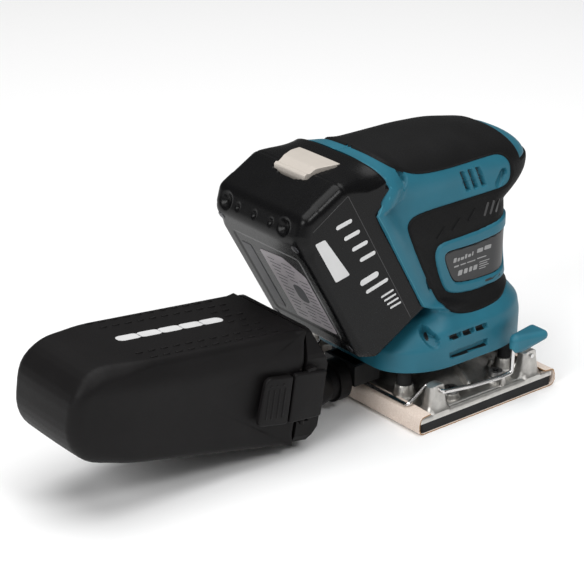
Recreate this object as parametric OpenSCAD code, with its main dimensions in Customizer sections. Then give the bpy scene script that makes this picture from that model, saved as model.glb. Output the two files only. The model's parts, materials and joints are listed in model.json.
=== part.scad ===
// Cordless finishing sander: an orbital pad with two wire clamps, a palm-grip body, a slide-on battery
// pack and a dust box. The origin is the centre of the sanding face, +X points to the nose of the grip
// and +Z up. All sizes are in millimetres.

/* [Pad] */
// Length of the pad along X
pad_length = 102; // [96:1:104]
// Width of the pad along Y
pad_width = 112; // [108:1:114]
// Thickness of the abrasive sheet
sheet_t = 0.7; // [0.5:0.1:0.9]
// Thickness of the rubber sole
sole_t = 5.4; // [4.5:0.1:5.4]
// Half of the orbit's diameter, the offset of the eccentric pin
orbit_offset = 0.75; // [0.5:0.05:0.9]
// Diameter of the clamp wires
wire_d = 2.5; // [2:0.1:2.6]

/* [Housing] */
// Height of the grip at its crown
crown_z = 153; // [151:0.5:155]
// Reach of the nose in front of the pad's centre
nose_x = 60; // [58:0.5:62]
// Wall thickness of the housing shells
wall = 2.5; // [2:0.1:3]
// Tilt of the battery's mating plane from the vertical, in degrees
tilt = 29.3; // [28.5:0.1:30]

/* [Battery] */
// Length of the battery along its slide
batt_length = 104; // [98:1:108]
// Width of the battery
batt_width = 75; // [74:0.5:75.5]
// Depth of the battery's body from the mating plane
batt_depth = 53; // [50:1:55]

/* [Dust box] */
// Length of the dust box's shell
box_length = 139; // [130:1:142]
// Widest part of the dust box
box_width = 69; // [66:1:70]
// Pitch of the dust box, in degrees
box_pitch = 9.35; // [8:0.05:10]

/* [Hidden] */
$fn = 48;

// Clearance between parts that touch but don't move on each other
gap = 0.05;
// Clearance between parts that move past each other
run = 0.4;
sole_z = sheet_t + gap;
plate_z = sole_z + sole_t + gap;
plate_t = 2.3;
deck_z = plate_z + plate_t;
lip_z = 10;
hub_z = 25;
// The motor's axis, offset from the pad's bearing by the throw of the eccentric
motor_x = -orbit_offset;
pivot_x = 35;
pivot_z = 21.8;
bar_x = 48;
bar_z = lip_z + sheet_t + gap + wire_d / 2 + 0.25;
lever_y = 56;
// Rubber legs, as [x, y]: two in front and two closer together behind
legs = [[30, 37], [30, -37], [-38, 28], [-38, -28]];
leg_r = 4;
screw_x = 17;
screw_y = 43.5;
tower_y0 = 45.6;
tower_y1 = 54.2;
base_z = 28.3;
skirt_z = 29;

// Where the battery's mating plane meets the lower end of the battery
mate_x = -27.4;
mate_z = 65.6;
rail_depth = 12;
rail_from = 48;
rail_to = 96;
pocket_y = 30.2;
pocket_z = 98;
pocket_x = 13 / cos(tilt);

box_joint = [-115, 0, 39.2];
port_z = 17.5;
port_r = 8.5;

teal = "#23697d";
black = "#1c1c1e";
charcoal = "#2b2b2d";
cast = "#c9c9c6";
steel = "#b4b6ba";
copper = "#b4703a";

// ---------------------------------------------------------------- helpers

function unit(v) = v / norm(v);
function smooth(t) = let(s = max(0, min(1, t))) s * s * (3 - 2 * s);

// A closed loft through rings of points, capped at both ends
module loft(rings) {
    n = len(rings);
    m = len(rings[0]);
    sides = [
        for (i = [0 : n - 2], j = [0 : m - 1])
            let(k = (j + 1) % m)
            each [[i * m + j, (i + 1) * m + k, i * m + k], [i * m + j, (i + 1) * m + j, (i + 1) * m + k]]
    ];
    first = [for (j = [0 : m - 1]) j];
    last = [for (j = [m - 1 : -1 : 0]) (n - 1) * m + j];
    polyhedron(points = [for (r = rings) each r], faces = concat(sides, [first, last]), convexity = 6);
}

// A round wire through a path of points
module wire(path, r, sides = 10) {
    reference = unit([0.5, 0.5, -0.7]);
    last = len(path) - 1;
    rings = [
        for (i = [0 : last])
            let(t = unit(path[min(i + 1, last)] - path[max(i - 1, 0)]), a = unit(cross(t, reference)))
            let(b = cross(t, a))
            [for (k = [0 : sides - 1]) path[i] + r * (cos(360 * k / sides) * a + sin(360 * k / sides) * b)]
    ];
    loft(rings);
}

// Replaces each corner of a path by a bend that starts at the given distance from it
function bend(path, d) = [
    for (i = [0 : len(path) - 1])
        each (i == 0 || i == len(path) - 1) ? [path[i]]
            : let(
                a = path[i] + d * unit(path[i - 1] - path[i]),
                b = path[i] + d * unit(path[i + 1] - path[i])
            )
            [a, (a + 2 * path[i] + b) / 4, b]
];

// A flat rectangle with round corners, centred on the origin
module round_rect(x, y, r) {
    square([x - 2 * r, y], center = true);
    square([x, y - 2 * r], center = true);
    for (sx = [-1, 1], sy = [-1, 1])
        translate([sx * (x / 2 - r), sy * (y / 2 - r)])
            circle(r);
}

module round_box(x, y, z, r) {
    linear_extrude(z)
        round_rect(x, y, r);
}

module ring(r_out, r_in, h) {
    difference() {
        cylinder(r = r_out, h = h);
        translate([0, 0, -1])
            cylinder(r = r_in, h = h + 2);
    }
}

// A screw with a round head, its head's top at the origin and its shank along -Z
module screw(head_r, head_h, shank_r, length) {
    translate([0, 0, -head_h])
        cylinder(r = head_r, h = head_h);
    translate([0, 0, -head_h - length])
        cylinder(r = shank_r, h = length + 0.01);
}

// Places children in the battery's frame: X towards the tool, Z up along the slide
module battery_frame() {
    translate([mate_x, 0, mate_z])
        rotate([0, -tilt, 0])
            children();
}

// Places children in the dust box's frame: -X backwards along the box, Z up across it
module box_frame() {
    translate(box_joint)
        rotate([0, box_pitch, 0])
            children();
}

// ---------------------------------------------------------------- pad

// The sheet runs under the sole and folds over the front and rear lips of the plate
module abrasive_sheet() {
    x = pad_length / 2;
    top = lip_z + gap;
    flap = 44.5;
    color("#cbb79b")
        translate([0, pad_width / 2, 0])
            rotate([90, 0, 0])
                linear_extrude(pad_width)
                    polygon([
                        [-flap, top + sheet_t], [-x + 1, top + sheet_t], [-x - sheet_t, top - 1],
                        [-x - sheet_t, 1.5], [-x + 0.8, 0], [x - 0.8, 0], [x + sheet_t, 1.5],
                        [x + sheet_t, top - 1], [x - 1, top + sheet_t], [flap, top + sheet_t],
                        [flap, top], [x - 1.2, top], [x, top - 1.2], [x, 2], [x - 1.2, sheet_t],
                        [-x + 1.2, sheet_t], [-x, 2], [-x, top - 1.2], [-x + 1.2, top], [-flap, top]
                    ]);
}

module sole_pad() {
    color(charcoal)
        translate([0, 0, sole_z])
            round_box(pad_length - 3, pad_width - 1, sole_t, 2);
}

// One quarter turn pair of towers carries each clamp wire's two pivots
module clamp_tower(x, y_sign) {
    translate([x, y_sign * (tower_y0 + tower_y1) / 2, deck_z - 0.5])
        round_box(13, tower_y1 - tower_y0, pivot_z + 3 - deck_z + 0.5, 1.5);
}

module pad_plate() {
    hub_r = 37;
    boss_r = 19;
    color(cast)
        difference() {
            union() {
                translate([0, 0, plate_z])
                    round_box(pad_length - 2.5, pad_width - 1, plate_t, 2);
                for (s = [-1, 1]) {
                    translate([-pad_length / 2 + 1.5, s * (pad_width / 2 - 2) - 1.5, deck_z - 0.1])
                        cube([pad_length - 3, 3, lip_z - deck_z + 0.1]);
                    translate([s * (pad_length / 2 - 3.8) - 2.2, -pad_width / 2 + 1, deck_z - 0.1])
                        cube([4.4, pad_width - 2, lip_z - deck_z + 0.1]);
                    translate([s * 14.5 - 1.5, -s * 52.4 - 1.4, deck_z - 0.1])
                        cube([3, 2.6, 6]);
                }
                translate([0, 0, deck_z - 0.1])
                    ring(hub_r, hub_r - 4, hub_z - deck_z + 0.1);
                translate([0, 0, deck_z - 0.1])
                    cylinder(r = boss_r, h = hub_z - deck_z + 0.1);
                for (a = [0 : 60 : 300])
                    rotate([0, 0, a + 30])
                        translate([boss_r - 1, -1.5, deck_z - 0.1])
                            cube([hub_r - boss_r - 1, 3, 12]);
                for (sx = [-1, 1], sy = [-1, 1])
                    clamp_tower(sx * pivot_x, sy);
                for (p = legs)
                    translate([p[0], p[1], deck_z - 0.1])
                        cylinder(r = leg_r + 1.6, h = 9);
                for (sx = [-1, 1], sy = [-1, 1])
                    translate([sx * screw_x, sy * screw_y, deck_z - 0.1])
                        cylinder(r = 5, h = 3);
            }
            translate([0, 0, hub_z - 9 - gap])
                cylinder(r = 15 + 0.02, h = 10);
            translate([0, 0, deck_z + 4])
                cylinder(r = 11, h = 12);
            for (sx = [-1, 1])
                translate([sx * pivot_x, 0, pivot_z])
                    rotate([90, 0, 0])
                        cylinder(r = wire_d / 2 + 0.08, h = pad_width, center = true);
            for (p = legs)
                translate([p[0], p[1], deck_z + 3])
                    cylinder(r = leg_r + gap, h = 10);
            for (sx = [-1, 1], sy = [-1, 1])
                translate([sx * pivot_x - 3.5, sy * (tower_y0 + 1.2) - 2.2, deck_z + 0.5])
                    cube([7, 4.4, pivot_z - deck_z - 3.5]);
            for (a = [0 : 120 : 240])
                rotate([0, 0, a])
                    translate([17, 0, hub_z - 7])
                        cylinder(r = 1.2, h = 8);
        }
}

// Four pan-head screws that hold the sole to the plate
module pad_screws() {
    color(black)
        for (sx = [-1, 1], sy = [-1, 1])
            translate([sx * screw_x, sy * screw_y, deck_z + 3])
                difference() {
                    cylinder(r = 4, h = 3);
                    for (a = [0, 90])
                        rotate([0, 0, a])
                            translate([-2.4, -0.5, 1.6])
                                cube([4.8, 1, 2]);
                }
}

// Four rubber legs that steady the pad under the body
module rubber_legs() {
    color(black)
        for (p = legs)
            translate([p[0], p[1], deck_z + 3 + gap]) {
                cylinder(r = leg_r, h = base_z - run - deck_z - 5);
                cylinder(r = leg_r - 0.8, h = base_z - run - deck_z - 3 - gap);
            }
}

module eccentric_bearing() {
    color(steel)
        translate([0, 0, hub_z - 9])
            ring(15, 5 + 0.03, 8.9);
}

module bearing_retainer() {
    color(steel)
        translate([0, 0, hub_z + gap])
            difference() {
                ring(18.8, 12.5, 1.2);
                for (a = [0 : 120 : 240])
                    rotate([0, 0, a])
                        translate([17, 0, -1])
                            cylinder(r = 1.15, h = 4);
            }
}

module retainer_screws() {
    color(black)
        for (a = [0 : 120 : 240])
            rotate([0, 0, a])
                translate([17, 0, hub_z + gap + 1.3 + 0.5])
                    screw(1.7, 0.5, 1.1, 7);
}

// ---------------------------------------------------------------- clamps

// The rear clamp's wire: a bar on the folded sheet, two cranks up to the pivots and a side lever
function clamp_path() = bend([
    [-pivot_x, tower_y1, pivot_z], [-pivot_x, tower_y0 - 2, pivot_z],
    [-bar_x, tower_y0 - 3.5, bar_z], [-bar_x, -tower_y0 + 3.5, bar_z],
    [-pivot_x, -tower_y0 + 2, pivot_z], [-pivot_x, -lever_y, pivot_z],
    [-14, -lever_y, 18.9], [8.5, -lever_y, 17.4], [17, -lever_y, 18], [17.5, -lever_y, 36]
], 1.6);

module clamp_wire() {
    color(steel)
        union() {
            wire(clamp_path(), wire_d / 2 - 0.02);
            for (y = [tower_y0 + 4.2, -tower_y0 - 4.2])
                translate([-pivot_x, y, pivot_z])
                    rotate([90, 0, 0])
                        cylinder(r = wire_d / 2, h = 8, center = true);
        }
}

// A finger paddle moulded round the end of the lever
module clamp_knob() {
    color(teal)
        difference() {
            hull() {
                for (z = [33, 37])
                    translate([19.5, -lever_y, z])
                        sphere(r = 3.6, $fn = 24);
                for (y = [-4, 4])
                    translate([36, -lever_y + y, 37])
                        sphere(r = 3, $fn = 24);
                translate([24, -lever_y, 31.2])
                    sphere(r = 2.6, $fn = 24);
            }
            translate([17.5, -lever_y, 20])
                cylinder(r = wire_d / 2 + 0.3, h = 17);
        }
}

module rear_clamp_wire() { clamp_wire(); }
module front_clamp_wire() { rotate([0, 0, 180]) clamp_wire(); }
module rear_clamp_knob() { clamp_knob(); }
module front_clamp_knob() { rotate([0, 0, 180]) clamp_knob(); }

// ---------------------------------------------------------------- drive

module at_motor(z) {
    translate([motor_x, 0, z])
        children();
}

// The shaft ends in a pin that is offset from the motor's axis by the throw
module motor_shaft() {
    color(steel) {
        at_motor(27)
            cylinder(r = 4, h = 86);
        translate([0, 0, 15])
            cylinder(r = 5, h = 12.1);
    }
}

module counterweight() {
    color("#8d9094")
        at_motor(27.6)
            difference() {
                union() {
                    cylinder(r = 9, h = 13);
                    intersection() {
                        cylinder(r = 29, h = 11);
                        translate([-30, -30, 0])
                            cube([28, 60, 20]);
                    }
                    translate([-10, -9, 0])
                        cube([10, 18, 11]);
                }
                translate([0, 0, -1])
                    cylinder(r = 4 + gap, h = 20);
            }
}

module cooling_fan() {
    color(charcoal)
        at_motor(50.8)
            difference() {
                union() {
                    cylinder(r = 24, h = 1.6);
                    cylinder(r = 7, h = 8);
                    for (a = [0 : 30 : 330])
                        rotate([0, 0, a])
                            translate([9, -0.6, 0])
                                cube([14.5, 1.2, 6]);
                }
                translate([0, 0, -1])
                    cylinder(r = 4 + gap, h = 20);
            }
}

module rotor_core() {
    color(steel)
        at_motor(68)
            difference() {
                cylinder(r = 13, h = 30);
                translate([0, 0, -1])
                    cylinder(r = 4 + gap, h = 40);
                for (a = [0 : 45 : 315])
                    rotate([0, 0, a])
                        translate([11, -0.8, -1])
                            cube([4, 1.6, 40]);
            }
}

// Laminated stator with its windings standing proud at both ends
module motor_stator() {
    color(copper)
        at_motor(66) {
            translate([0, 0, 3])
                ring(24, 13.6, 28);
            ring(20.5, 14.5, 3.1);
            translate([0, 0, 30.9])
                ring(20.5, 14.5, 3.1);
        }
}

module upper_bearing() {
    color(steel)
        at_motor(103)
            ring(11, 4.04, 7);
}

module lower_bearing() {
    color(steel)
        at_motor(42)
            ring(13, 4.04, 8);
}

module motor_bracket() {
    color(charcoal)
        at_motor(41.5)
            difference() {
                union() {
                    cylinder(r = 38, h = 3);
                    cylinder(r = 16, h = 8.5);
                    for (a = [22.5 : 45 : 350])
                        rotate([0, 0, a])
                            translate([15, -1, 0])
                                cube([20, 2, 4.8]);
                }
                translate([0, 0, 0.4])
                    cylinder(r = 13.03, h = 20);
                translate([0, 0, -1])
                    cylinder(r = 10.5, h = 20);
                for (a = [0 : 45 : 315])
                    rotate([0, 0, a])
                        translate([26, 0, -1])
                            cylinder(r = 6, h = 10);
            }
}

module motor_cap() {
    color(charcoal)
        at_motor(102.4)
            difference() {
                union() {
                    cylinder(r = 15, h = 8.4);
                    for (a = [0 : 90 : 270])
                        rotate([0, 0, a])
                            translate([10, -4, 0])
                                cube([17, 8, 4]);
                }
                translate([0, 0, 0.5])
                    cylinder(r = 11.03, h = 10);
                translate([0, 0, -1])
                    cylinder(r = 8, h = 20);
            }
}

// ---------------------------------------------------------------- housing

// X of the battery's mating plane at height z
function plane_x(z) = mate_x + 0.5 - (z - mate_z) * tan(tilt);

shoulder_z = 128;
front_table = [
    [29, 48], [44, 48], [52, 47], [57, 42.5], [62, 38.5], [66, 36.2], [72, 35], [106, 35],
    [112, 37.5], [116, nose_x - 13], [120, nose_x - 5.5], [124, nose_x - 1.5], [128, nose_x]
];
width_table = [[29, 46.3], [44, 46.3], [50, 45.3], [55, 42], [60, 38.5], [66, 36.3], [72, 35.5], [106, 35.5],
    [112, 35], [120, 34], [128, 33]];
nose_round_y = 27;
front_round_x = [[29, 36], [50, 34], [60, 22], [72, 18], [106, 18], [120, 31], [128, 33]];
front_round_y = [[29, 26], [50, 26], [60, 20], [72, 18], [106, 18], [120, nose_round_y], [128, nose_round_y]];
rear_round_x = [[29, 36], [42, 34], [60, 9], [66, 7], [128, 6]];
rear_round_y = [[29, 26], [42, 26], [60, 9], [66, 7], [128, 6]];
// Height of the crown along the grip, and how round its cross-section is
crown_table = [[-80, 0], [-62, -1.2], [-40, -0.8], [-12, 0], [12, -1.5], [36, -6.5], [65, -14]];
crown_power = [[-78, 0.5], [-66, 0.6], [-50, 0.78], [-20, 0.86], [65, 0.92]];
ridge_end = 36;

rings_z = [29, 36, 42, 46, 50, 53, 56, 60, 63, 66, 72, 78, 88, 97.8, 98, 104, 108, 112, 114, 116, 118, 120,
    124, 128];
crown_angles = [8, 18, 30, 43, 56, 68, 78, 86];
plain_rings = len(rings_z);
ring_count = plain_rings + len(crown_angles) + 1;

flat_parts = [0, 0.45, 0.885, 0.9];
rear_angles = [0, 22.5, 45, 67.5, 90];
side_parts = [0.06, 0.13, 0.22, 0.4, 0.6, 0.8];
front_angles = [0, 15, 30, 45, 60, 75, 90];
nose_parts = [0.5, 0];
col_rear = len(flat_parts);
col_side = col_rear + len(rear_angles);
col_front = col_side + len(side_parts);
col_nose = col_front + len(front_angles);
col_count = col_nose + len(nose_parts);

function rear_x(z) = z < 41 ? -54 : z < 60 ? -54 + (z - 41) / 19 * (plane_x(60) + 54) : plane_x(z);

// A point of the plan outline: column j of an outline from xr to xf with half-width w
// and corner radii r = [rear x, rear y, front x, front y]
function outline(j, xr, xf, w, r, flare) =
    j < col_rear ? [xr, flat_parts[j] * (w + flare - r[1])]
    : j < col_side ? let(a = rear_angles[j - col_rear])
        [xr + r[0] * (1 - cos(a)), w + flare - r[1] + r[1] * sin(a)]
    : j < col_front ? let(x = xr + r[0] + side_parts[j - col_side] * (xf - r[2] - xr - r[0]))
        [x, w + flare * (1 - smooth((x - xr - r[0]) / 15))]
    : j < col_nose ? let(a = front_angles[j - col_front])
        [xf - r[2] + r[2] * sin(a), w - min(r[3], w) * (1 - cos(a))]
    : [xf, nose_parts[j - col_nose] * (w - r[3])];

// Point of the housing's right half on ring i and column j, moved outwards by off
function skin(i, j, off) =
    i < plain_rings ? plain_point(rings_z[i], j, off)
    : i < ring_count - 1 ? crown_point(crown_angles[i - plain_rings], j, off)
    : ridge_point(j, off);

function is_pocket(z, y, j) = z >= pocket_z && abs(y) < pocket_y && j < col_side;

function plain_point(z, j, off) =
    let(
        flare = 4.5 * smooth((z - 56) / 9),
        radii = [for (t = [rear_round_x, rear_round_y, front_round_x, front_round_y]) lookup(z, t)],
        p = outline(j, rear_x(z) - off, lookup(z, front_table) + off, lookup(z, width_table) + off, radii,
            flare),
        step = is_pocket(z, p[1], j) ? pocket_x : 0
    )
    [p[0] + step, -max(p[1], gap), z];

function crown_height(x, off) = crown_z + lookup(x, crown_table) + off - shoulder_z;

function crown_point(angle, j, off) =
    let(
        zr = shoulder_z + crown_height(-78, off) * pow(sin(angle), 0.5),
        xr = plane_x(zr) - off,
        half = lookup(shoulder_z, width_table) + off,
        rear_w = (half + 4.5) * pow(cos(angle), 0.5),
        open = rear_w < pocket_y + 1,
        rr = min(6, rear_w / 3),
        x0 = xr + (open ? pocket_x : 0),
        c = pow(cos(angle), 0.85),
        xf = ridge_end + (nose_x + off - ridge_end) * c,
        p = outline(j, x0, xf, half, [rr, rr, 33 * c, nose_round_y], 4.5),
        pw = lookup(p[0], crown_power),
        y = j < col_rear ? flat_parts[j] * (rear_w - rr) : p[1] * pow(cos(angle), pw),
        yy = j >= col_rear && j < col_side ? min(y, rear_w) : y,
        step = !open && is_pocket(zr, yy, j) ? pocket_x : 0,
        zz = j < col_side ? zr : shoulder_z + crown_height(p[0], off) * pow(sin(angle), pw)
    )
    [p[0] + step, -max(yy, gap), zz];

function ridge_point(j, off) =
    let(
        xr = plane_x(crown_z + off) - off + pocket_x,
        x = xr + (ridge_end - xr) * j / (col_count - 1)
    )
    [x, -gap, shoulder_z + crown_height(x, off)];

// A shell between two offsets of the housing's skin, over a range of rings and columns
module skin_patch(i0, i1, j0, j1, outer, inner) {
    rows = i1 - i0 + 1;
    cols = j1 - j0 + 1;
    half = rows * cols;
    points = [
        for (off = [outer, inner], i = [i0 : i1], j = [j0 : j1]) skin(i, j, off)
    ];
    grid = [
        for (i = [0 : rows - 2], j = [0 : cols - 2])
            let(a = i * cols + j, b = a + 1, c = a + cols, d = c + 1)
            each [[a, c, d], [a, d, b], [half + a, half + d, half + c], [half + a, half + b, half + d]]
    ];
    rows_rim = [
        for (j = [0 : cols - 2])
            let(a = j, b = (rows - 1) * cols + j)
            each [[a, a + 1, half + a + 1], [a, half + a + 1, half + a],
                [b, half + b + 1, b + 1], [b, half + b, half + b + 1]]
    ];
    cols_rim = [
        for (i = [0 : rows - 2])
            let(a = i * cols, b = a + cols - 1)
            each [[a, half + a + cols, a + cols], [a, half + a, half + a + cols],
                [b, b + cols, half + b + cols], [b, half + b + cols, half + b]]
    ];
    polyhedron(points = points, faces = concat(grid, rows_rim, cols_rim), convexity = 10);
}

module housing_right() {
    color(teal)
        skin_patch(0, ring_count - 1, 0, col_count - 1, 0, -wall);
}

module housing_left() {
    mirror([0, 1, 0])
        housing_right();
}

// Soft grip over the crown, from above the side band to the ridge
module grip_cover_right() {
    color(charcoal)
        skin_patch(plain_rings + 2, ring_count - 1, col_side + 1, col_count - 1, 1, gap);
}

module grip_cover_left() {
    mirror([0, 1, 0])
        grip_cover_right();
}

// Soft panel round the waist, from the rear of the side to the front
module side_panel_right() {
    color(charcoal)
        skin_patch(9, 17, col_side + 3, col_nose - 1, 1, gap);
}

module side_panel_left() {
    mirror([0, 1, 0])
        side_panel_right();
}

plate_x = 4.8;
plate_mid_z = 84;
plate_y = 37;

module side_plate(x, z, r, y0, y1) {
    translate([plate_x, -y0, plate_mid_z])
        rotate([90, 0, 0])
            linear_extrude(y1 - y0)
                round_rect(x, z, r);
}

module nameplate_frame_right() {
    color(teal)
        difference() {
            side_plate(27, 28, 6, plate_y, plate_y + 1.6);
            side_plate(20, 21, 4, plate_y - 1, plate_y + 3);
        }
}

module nameplate_frame_left() {
    mirror([0, 1, 0])
        nameplate_frame_right();
}

module nameplate_right() {
    color(black)
        side_plate(19.8, 20.8, 4, plate_y, plate_y + 0.8);
}

module nameplate_left() {
    mirror([0, 1, 0])
        nameplate_right();
}

// Screws that close the two housing halves, driven from the right
screw_places = [[-32.8, 48], [-24, 74], [-42, 131], [28, 124], [28, 48.3]];

module housing_screws() {
    color(black)
        for (p = screw_places)
            translate([p[0], -wall - 26, p[1]])
                rotate([90, 0, 0])
                    screw(3, 2, 1.5, 15);
}

// Closes the skirt from below, round the pad's hub
module base_frame() {
    color(black)
        translate([0, 0, base_z])
            difference() {
                linear_extrude(3)
                    for (s = [-1, 1])
                        polygon([for (j = [0 : col_count - 1]) let(p = plain_point(29, j, -wall - 0.3))
                            [p[0], s * (p[1] + 2 * gap)]]);
                translate([motor_x, 0, -1])
                    cylinder(r = 34, h = 6);
                translate([-50, -11, -1])
                    cube([8, 22, 6]);
            }
}

module dust_seal() {
    color(black)
        translate([motor_x, 0, hub_z + 0.6])
            ring(36.5, 33, base_z - hub_z - 0.6 - gap);
}

// Duct from the skirt over the pad's rear edge to a round port
module dust_spout() {
    color(black)
        difference() {
            union() {
                translate([-61, -13, 16.2])
                    cube([18, 26, base_z - gap - 16.2]);
                translate([-73, 0, port_z])
                    rotate([0, 90, 0])
                        cylinder(r = port_r, h = 13);
            }
            translate([-74, 0, port_z])
                rotate([0, 90, 0])
                    cylinder(r = port_r - 2, h = 15);
            translate([-59, -11, 18])
                cube([14, 22, 20]);
        }
}

// ---------------------------------------------------------------- electrics

module controller_board() {
    color("#2f6b3c")
        translate([-38.5, -25, 118])
            cube([52.5, 50, 1.6]);
    color(black)
        for (x = [-30, -10])
            translate([x, -16, 119.6])
                cube([12, 30, 7]);
}

module terminal_block() {
    color(black)
        battery_frame()
            difference() {
                translate([1.2, -21, rail_from - 10])
                    cube([11, 42, 9]);
                for (y = [-14, 14])
                    translate([3, y - 3, rail_from - 4])
                        cube([7, 6, 4]);
            }
}

// Two rails inside the pocket that hold the battery's flanges
module tool_rails() {
    color(charcoal)
        battery_frame()
            for (s = [-1, 1])
                translate([1.4, s * 26.2 - 3.6, rail_from - 8])
                    cube([4.8, 7.2, rail_to - rail_from - 6]);
}

panel_x = 35 + 1 + gap;

module control_panel() {
    color(black)
        difference() {
            translate([panel_x, 0, 91])
                rotate([90, 0, 90])
                    linear_extrude(3)
                        round_rect(24, 34, 5);
            translate([panel_x + 0.8, 0, 97])
                rotate([0, 90, 0])
                    cylinder(r = 7.3, h = 5);
            for (y = [-6, 0, 6])
                translate([panel_x + 2, y, 81])
                    rotate([0, 90, 0])
                        cylinder(r = 1.2, h = 3);
        }
}

module power_button() {
    color("#3b3b3e")
        translate([panel_x + 2, 0, 97])
            rotate([0, 90, 0])
                cylinder(r = 7, h = 2.2);
}

// ---------------------------------------------------------------- battery

cover_t = 8;
case_wall = 2.5;
seat = 0.4;
button_floor = batt_length - 18.5;
spring_x = -5.2;

// Side outline of the battery: chamfered at the label's two ends and sloped next to the tool
batt_profile = [
    [-seat, -5], [-seat, batt_length - 10], [-17, batt_length], [-batt_depth + 9, batt_length],
    [-batt_depth, batt_length - 9], [-batt_depth, 9], [-batt_depth + 9, 0.6]
];

// The slice of the battery's body between two depths, its four long edges rounded by r
module batt_block(x0, x1, r) {
    intersection() {
        translate([x0, 0, batt_length / 2 - 2.5])
            rotate([0, 90, 0])
                linear_extrude(x1 - x0)
                    round_rect(batt_length + 5, batt_width, r);
        translate([0, batt_width, 0])
            rotate([90, 0, 0])
                linear_extrude(2 * batt_width)
                    polygon(batt_profile);
    }
}

// An outline in the battery's X and Z, extruded across its width
module batt_slab(width) {
    translate([0, width / 2, 0])
        rotate([90, 0, 0])
            linear_extrude(width)
                children();
}

// The opening that the release button moves in
module button_well() {
    batt_slab(36.6)
        polygon([
            [-19, batt_length - 8.6], [-19, batt_length + 6], [10, batt_length + 6], [10, button_floor],
            [-8.6, button_floor], [-11.3, batt_length - 8.6]
        ]);
}

// Lower case: an open box with a chamfer along its two label-side ends
module battery_case() {
    color(black)
        battery_frame()
            difference() {
                batt_block(-batt_depth - 1, -cover_t - gap, 7);
                batt_slab(batt_width - 2 * case_wall)
                    polygon([
                        [0, 3.5], [-batt_depth + 9.5, 3.5], [-batt_depth + case_wall, 11],
                        [-batt_depth + case_wall, batt_length - 11], [-batt_depth + 9.5, batt_length - 4],
                        [-18, batt_length - 4], [-cover_t, batt_length - 9.5], [0, batt_length - 9.5]
                    ]);
                button_well();
            }
}

// Tool-side cover with the slide-in platform, its flanges and the terminal slots
module battery_cover() {
    color(charcoal)
        battery_frame()
            difference() {
                union() {
                    batt_block(-cover_t, -seat, 7);
                    translate([-1, -22, rail_from])
                        cube([rail_depth - 0.4, 44, rail_to - rail_from]);
                    translate([6.9, -27.8, rail_from])
                        cube([rail_depth - 8.3, 55.6, rail_to - rail_from]);
                }
                translate([-cover_t - 1, -batt_width / 2 + case_wall, 3.5])
                    cube([cover_t - 1.5, batt_width - 2 * case_wall, batt_length - 24]);
                for (y = [-14, 14])
                    translate([1.5, y - 1.5, rail_from - 1])
                        cube([12, 3, 30]);
                button_well();
            }
}

module battery_cells() {
    color("#4a6fa5")
        battery_frame()
            for (row = [0, 1], k = [0 : 4])
                translate([-batt_depth + 13 + row * 18.8, 0, 13.2 + k * 18.1])
                    rotate([90, 0, 0])
                        cylinder(r = 9, h = 60, center = true);
}

module cell_holders() {
    color("#d8d6cf")
        battery_frame()
            for (s = [-1, 1])
                translate([0, s * 32.6 + 2.2, 0])
                    rotate([90, 0, 0])
                        linear_extrude(4.4)
                            polygon([
                                [-batt_depth + 3.6, 12.5], [-batt_depth + 11, 4], [-11.8, 4], [-11.8, 92],
                                [-14.5, 94.5], [-batt_depth + 7, 94.5], [-batt_depth + 3.6, 91]
                            ]);
}

module battery_board() {
    color("#2f6b3c")
        battery_frame()
            translate([-8.4, -24, 12])
                cube([1.4, 48, 60]);
}

module battery_terminals() {
    color("#c2a14a")
        battery_frame()
            for (y = [-14, 14])
                translate([2.6, y - 0.5, rail_from + 1.5])
                    cube([6, 1, 20]);
}

module battery_screws() {
    color(steel)
        battery_frame()
            for (y = [-31, 31], z = [14, batt_length - 14])
                translate([-batt_depth - gap, y, z])
                    rotate([0, -90, 0])
                        cylinder(r = 2.4, h = 0.8);
}

module battery_label() {
    color("#c8c8c8")
        battery_frame()
            translate([-batt_depth - 0.35, -27, 14])
                cube([0.3, 54, batt_length - 28]);
}

// The catch's thumb button on the upper end face, next to the tool
module release_button() {
    color("#e9e4d6")
        battery_frame()
            difference() {
                batt_slab(36)
                    polygon([
                        [-18.3, batt_length - 5.5], [-18.3, batt_length + 0.6], [-15.5, batt_length + 1],
                        [-2.2, batt_length - 7.2], [-2.2, button_floor + 3], [-8, button_floor + 3],
                        [-10.5, batt_length - 5.5]
                    ]);
                translate([spring_x, 0, button_floor])
                    cylinder(r = 2.3, h = 9);
            }
}

module button_spring() {
    color(steel)
        battery_frame()
            translate([spring_x, 0, button_floor + gap])
                ring(1.9, 1.4, 6);
}

// ---------------------------------------------------------------- dust box

box_h = 32.5;
cover_depth = 8;
box_wall = 2;
box_end = 28;

// Right half of the box's cross-section for a half-height h and a width scale s
function box_half(h, s) = [
    [27 * s, -h], [30.6 * s, -h + 1.6], [32.2 * s, -h + 5], [33 * s, 0.15 * h - 6],
    [33.8 * s, h - 19], [34.4 * s, h - 15.5], [33.8 * s, h - 13], [31.6 * s, h - 7], [29.8 * s, h - 2],
    [28 * s, h - 0.4], [25 * s, h]
];

function box_section(x, h, s) = [
    for (p = box_half(h, s)) [x, -p[0], p[1]],
    for (k = [len(box_half(h, s)) - 1 : -1 : 0]) [x, box_half(h, s)[k][0], box_half(h, s)[k][1]]
];

function box_height(x) = box_h + 0.0525 * x;

// Stations along the shell: straight flanks, then a rounded far end
function box_ring(x, inset) =
    let(
        start = -box_length + box_end,
        t = x < start ? (start - x) / (box_end - inset + 0.3) : 0,
        k = sqrt(max(1 - t * t, 0.02)),
        s = (1 + x / 2400) * (0.25 + 0.75 * pow(k, 0.9)) * (1 - inset / 33),
        h = (box_height(x) - inset) * (0.3 + 0.7 * pow(k, 0.8))
    )
    box_section(x, h, s);

shell_stations = [
    for (x = [0 : 37 : box_length - box_end]) -x,
    for (a = [14 : 14 : 70]) -box_length + box_end * (1 - sin(a)),
    -box_length + 0.1
];

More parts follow.
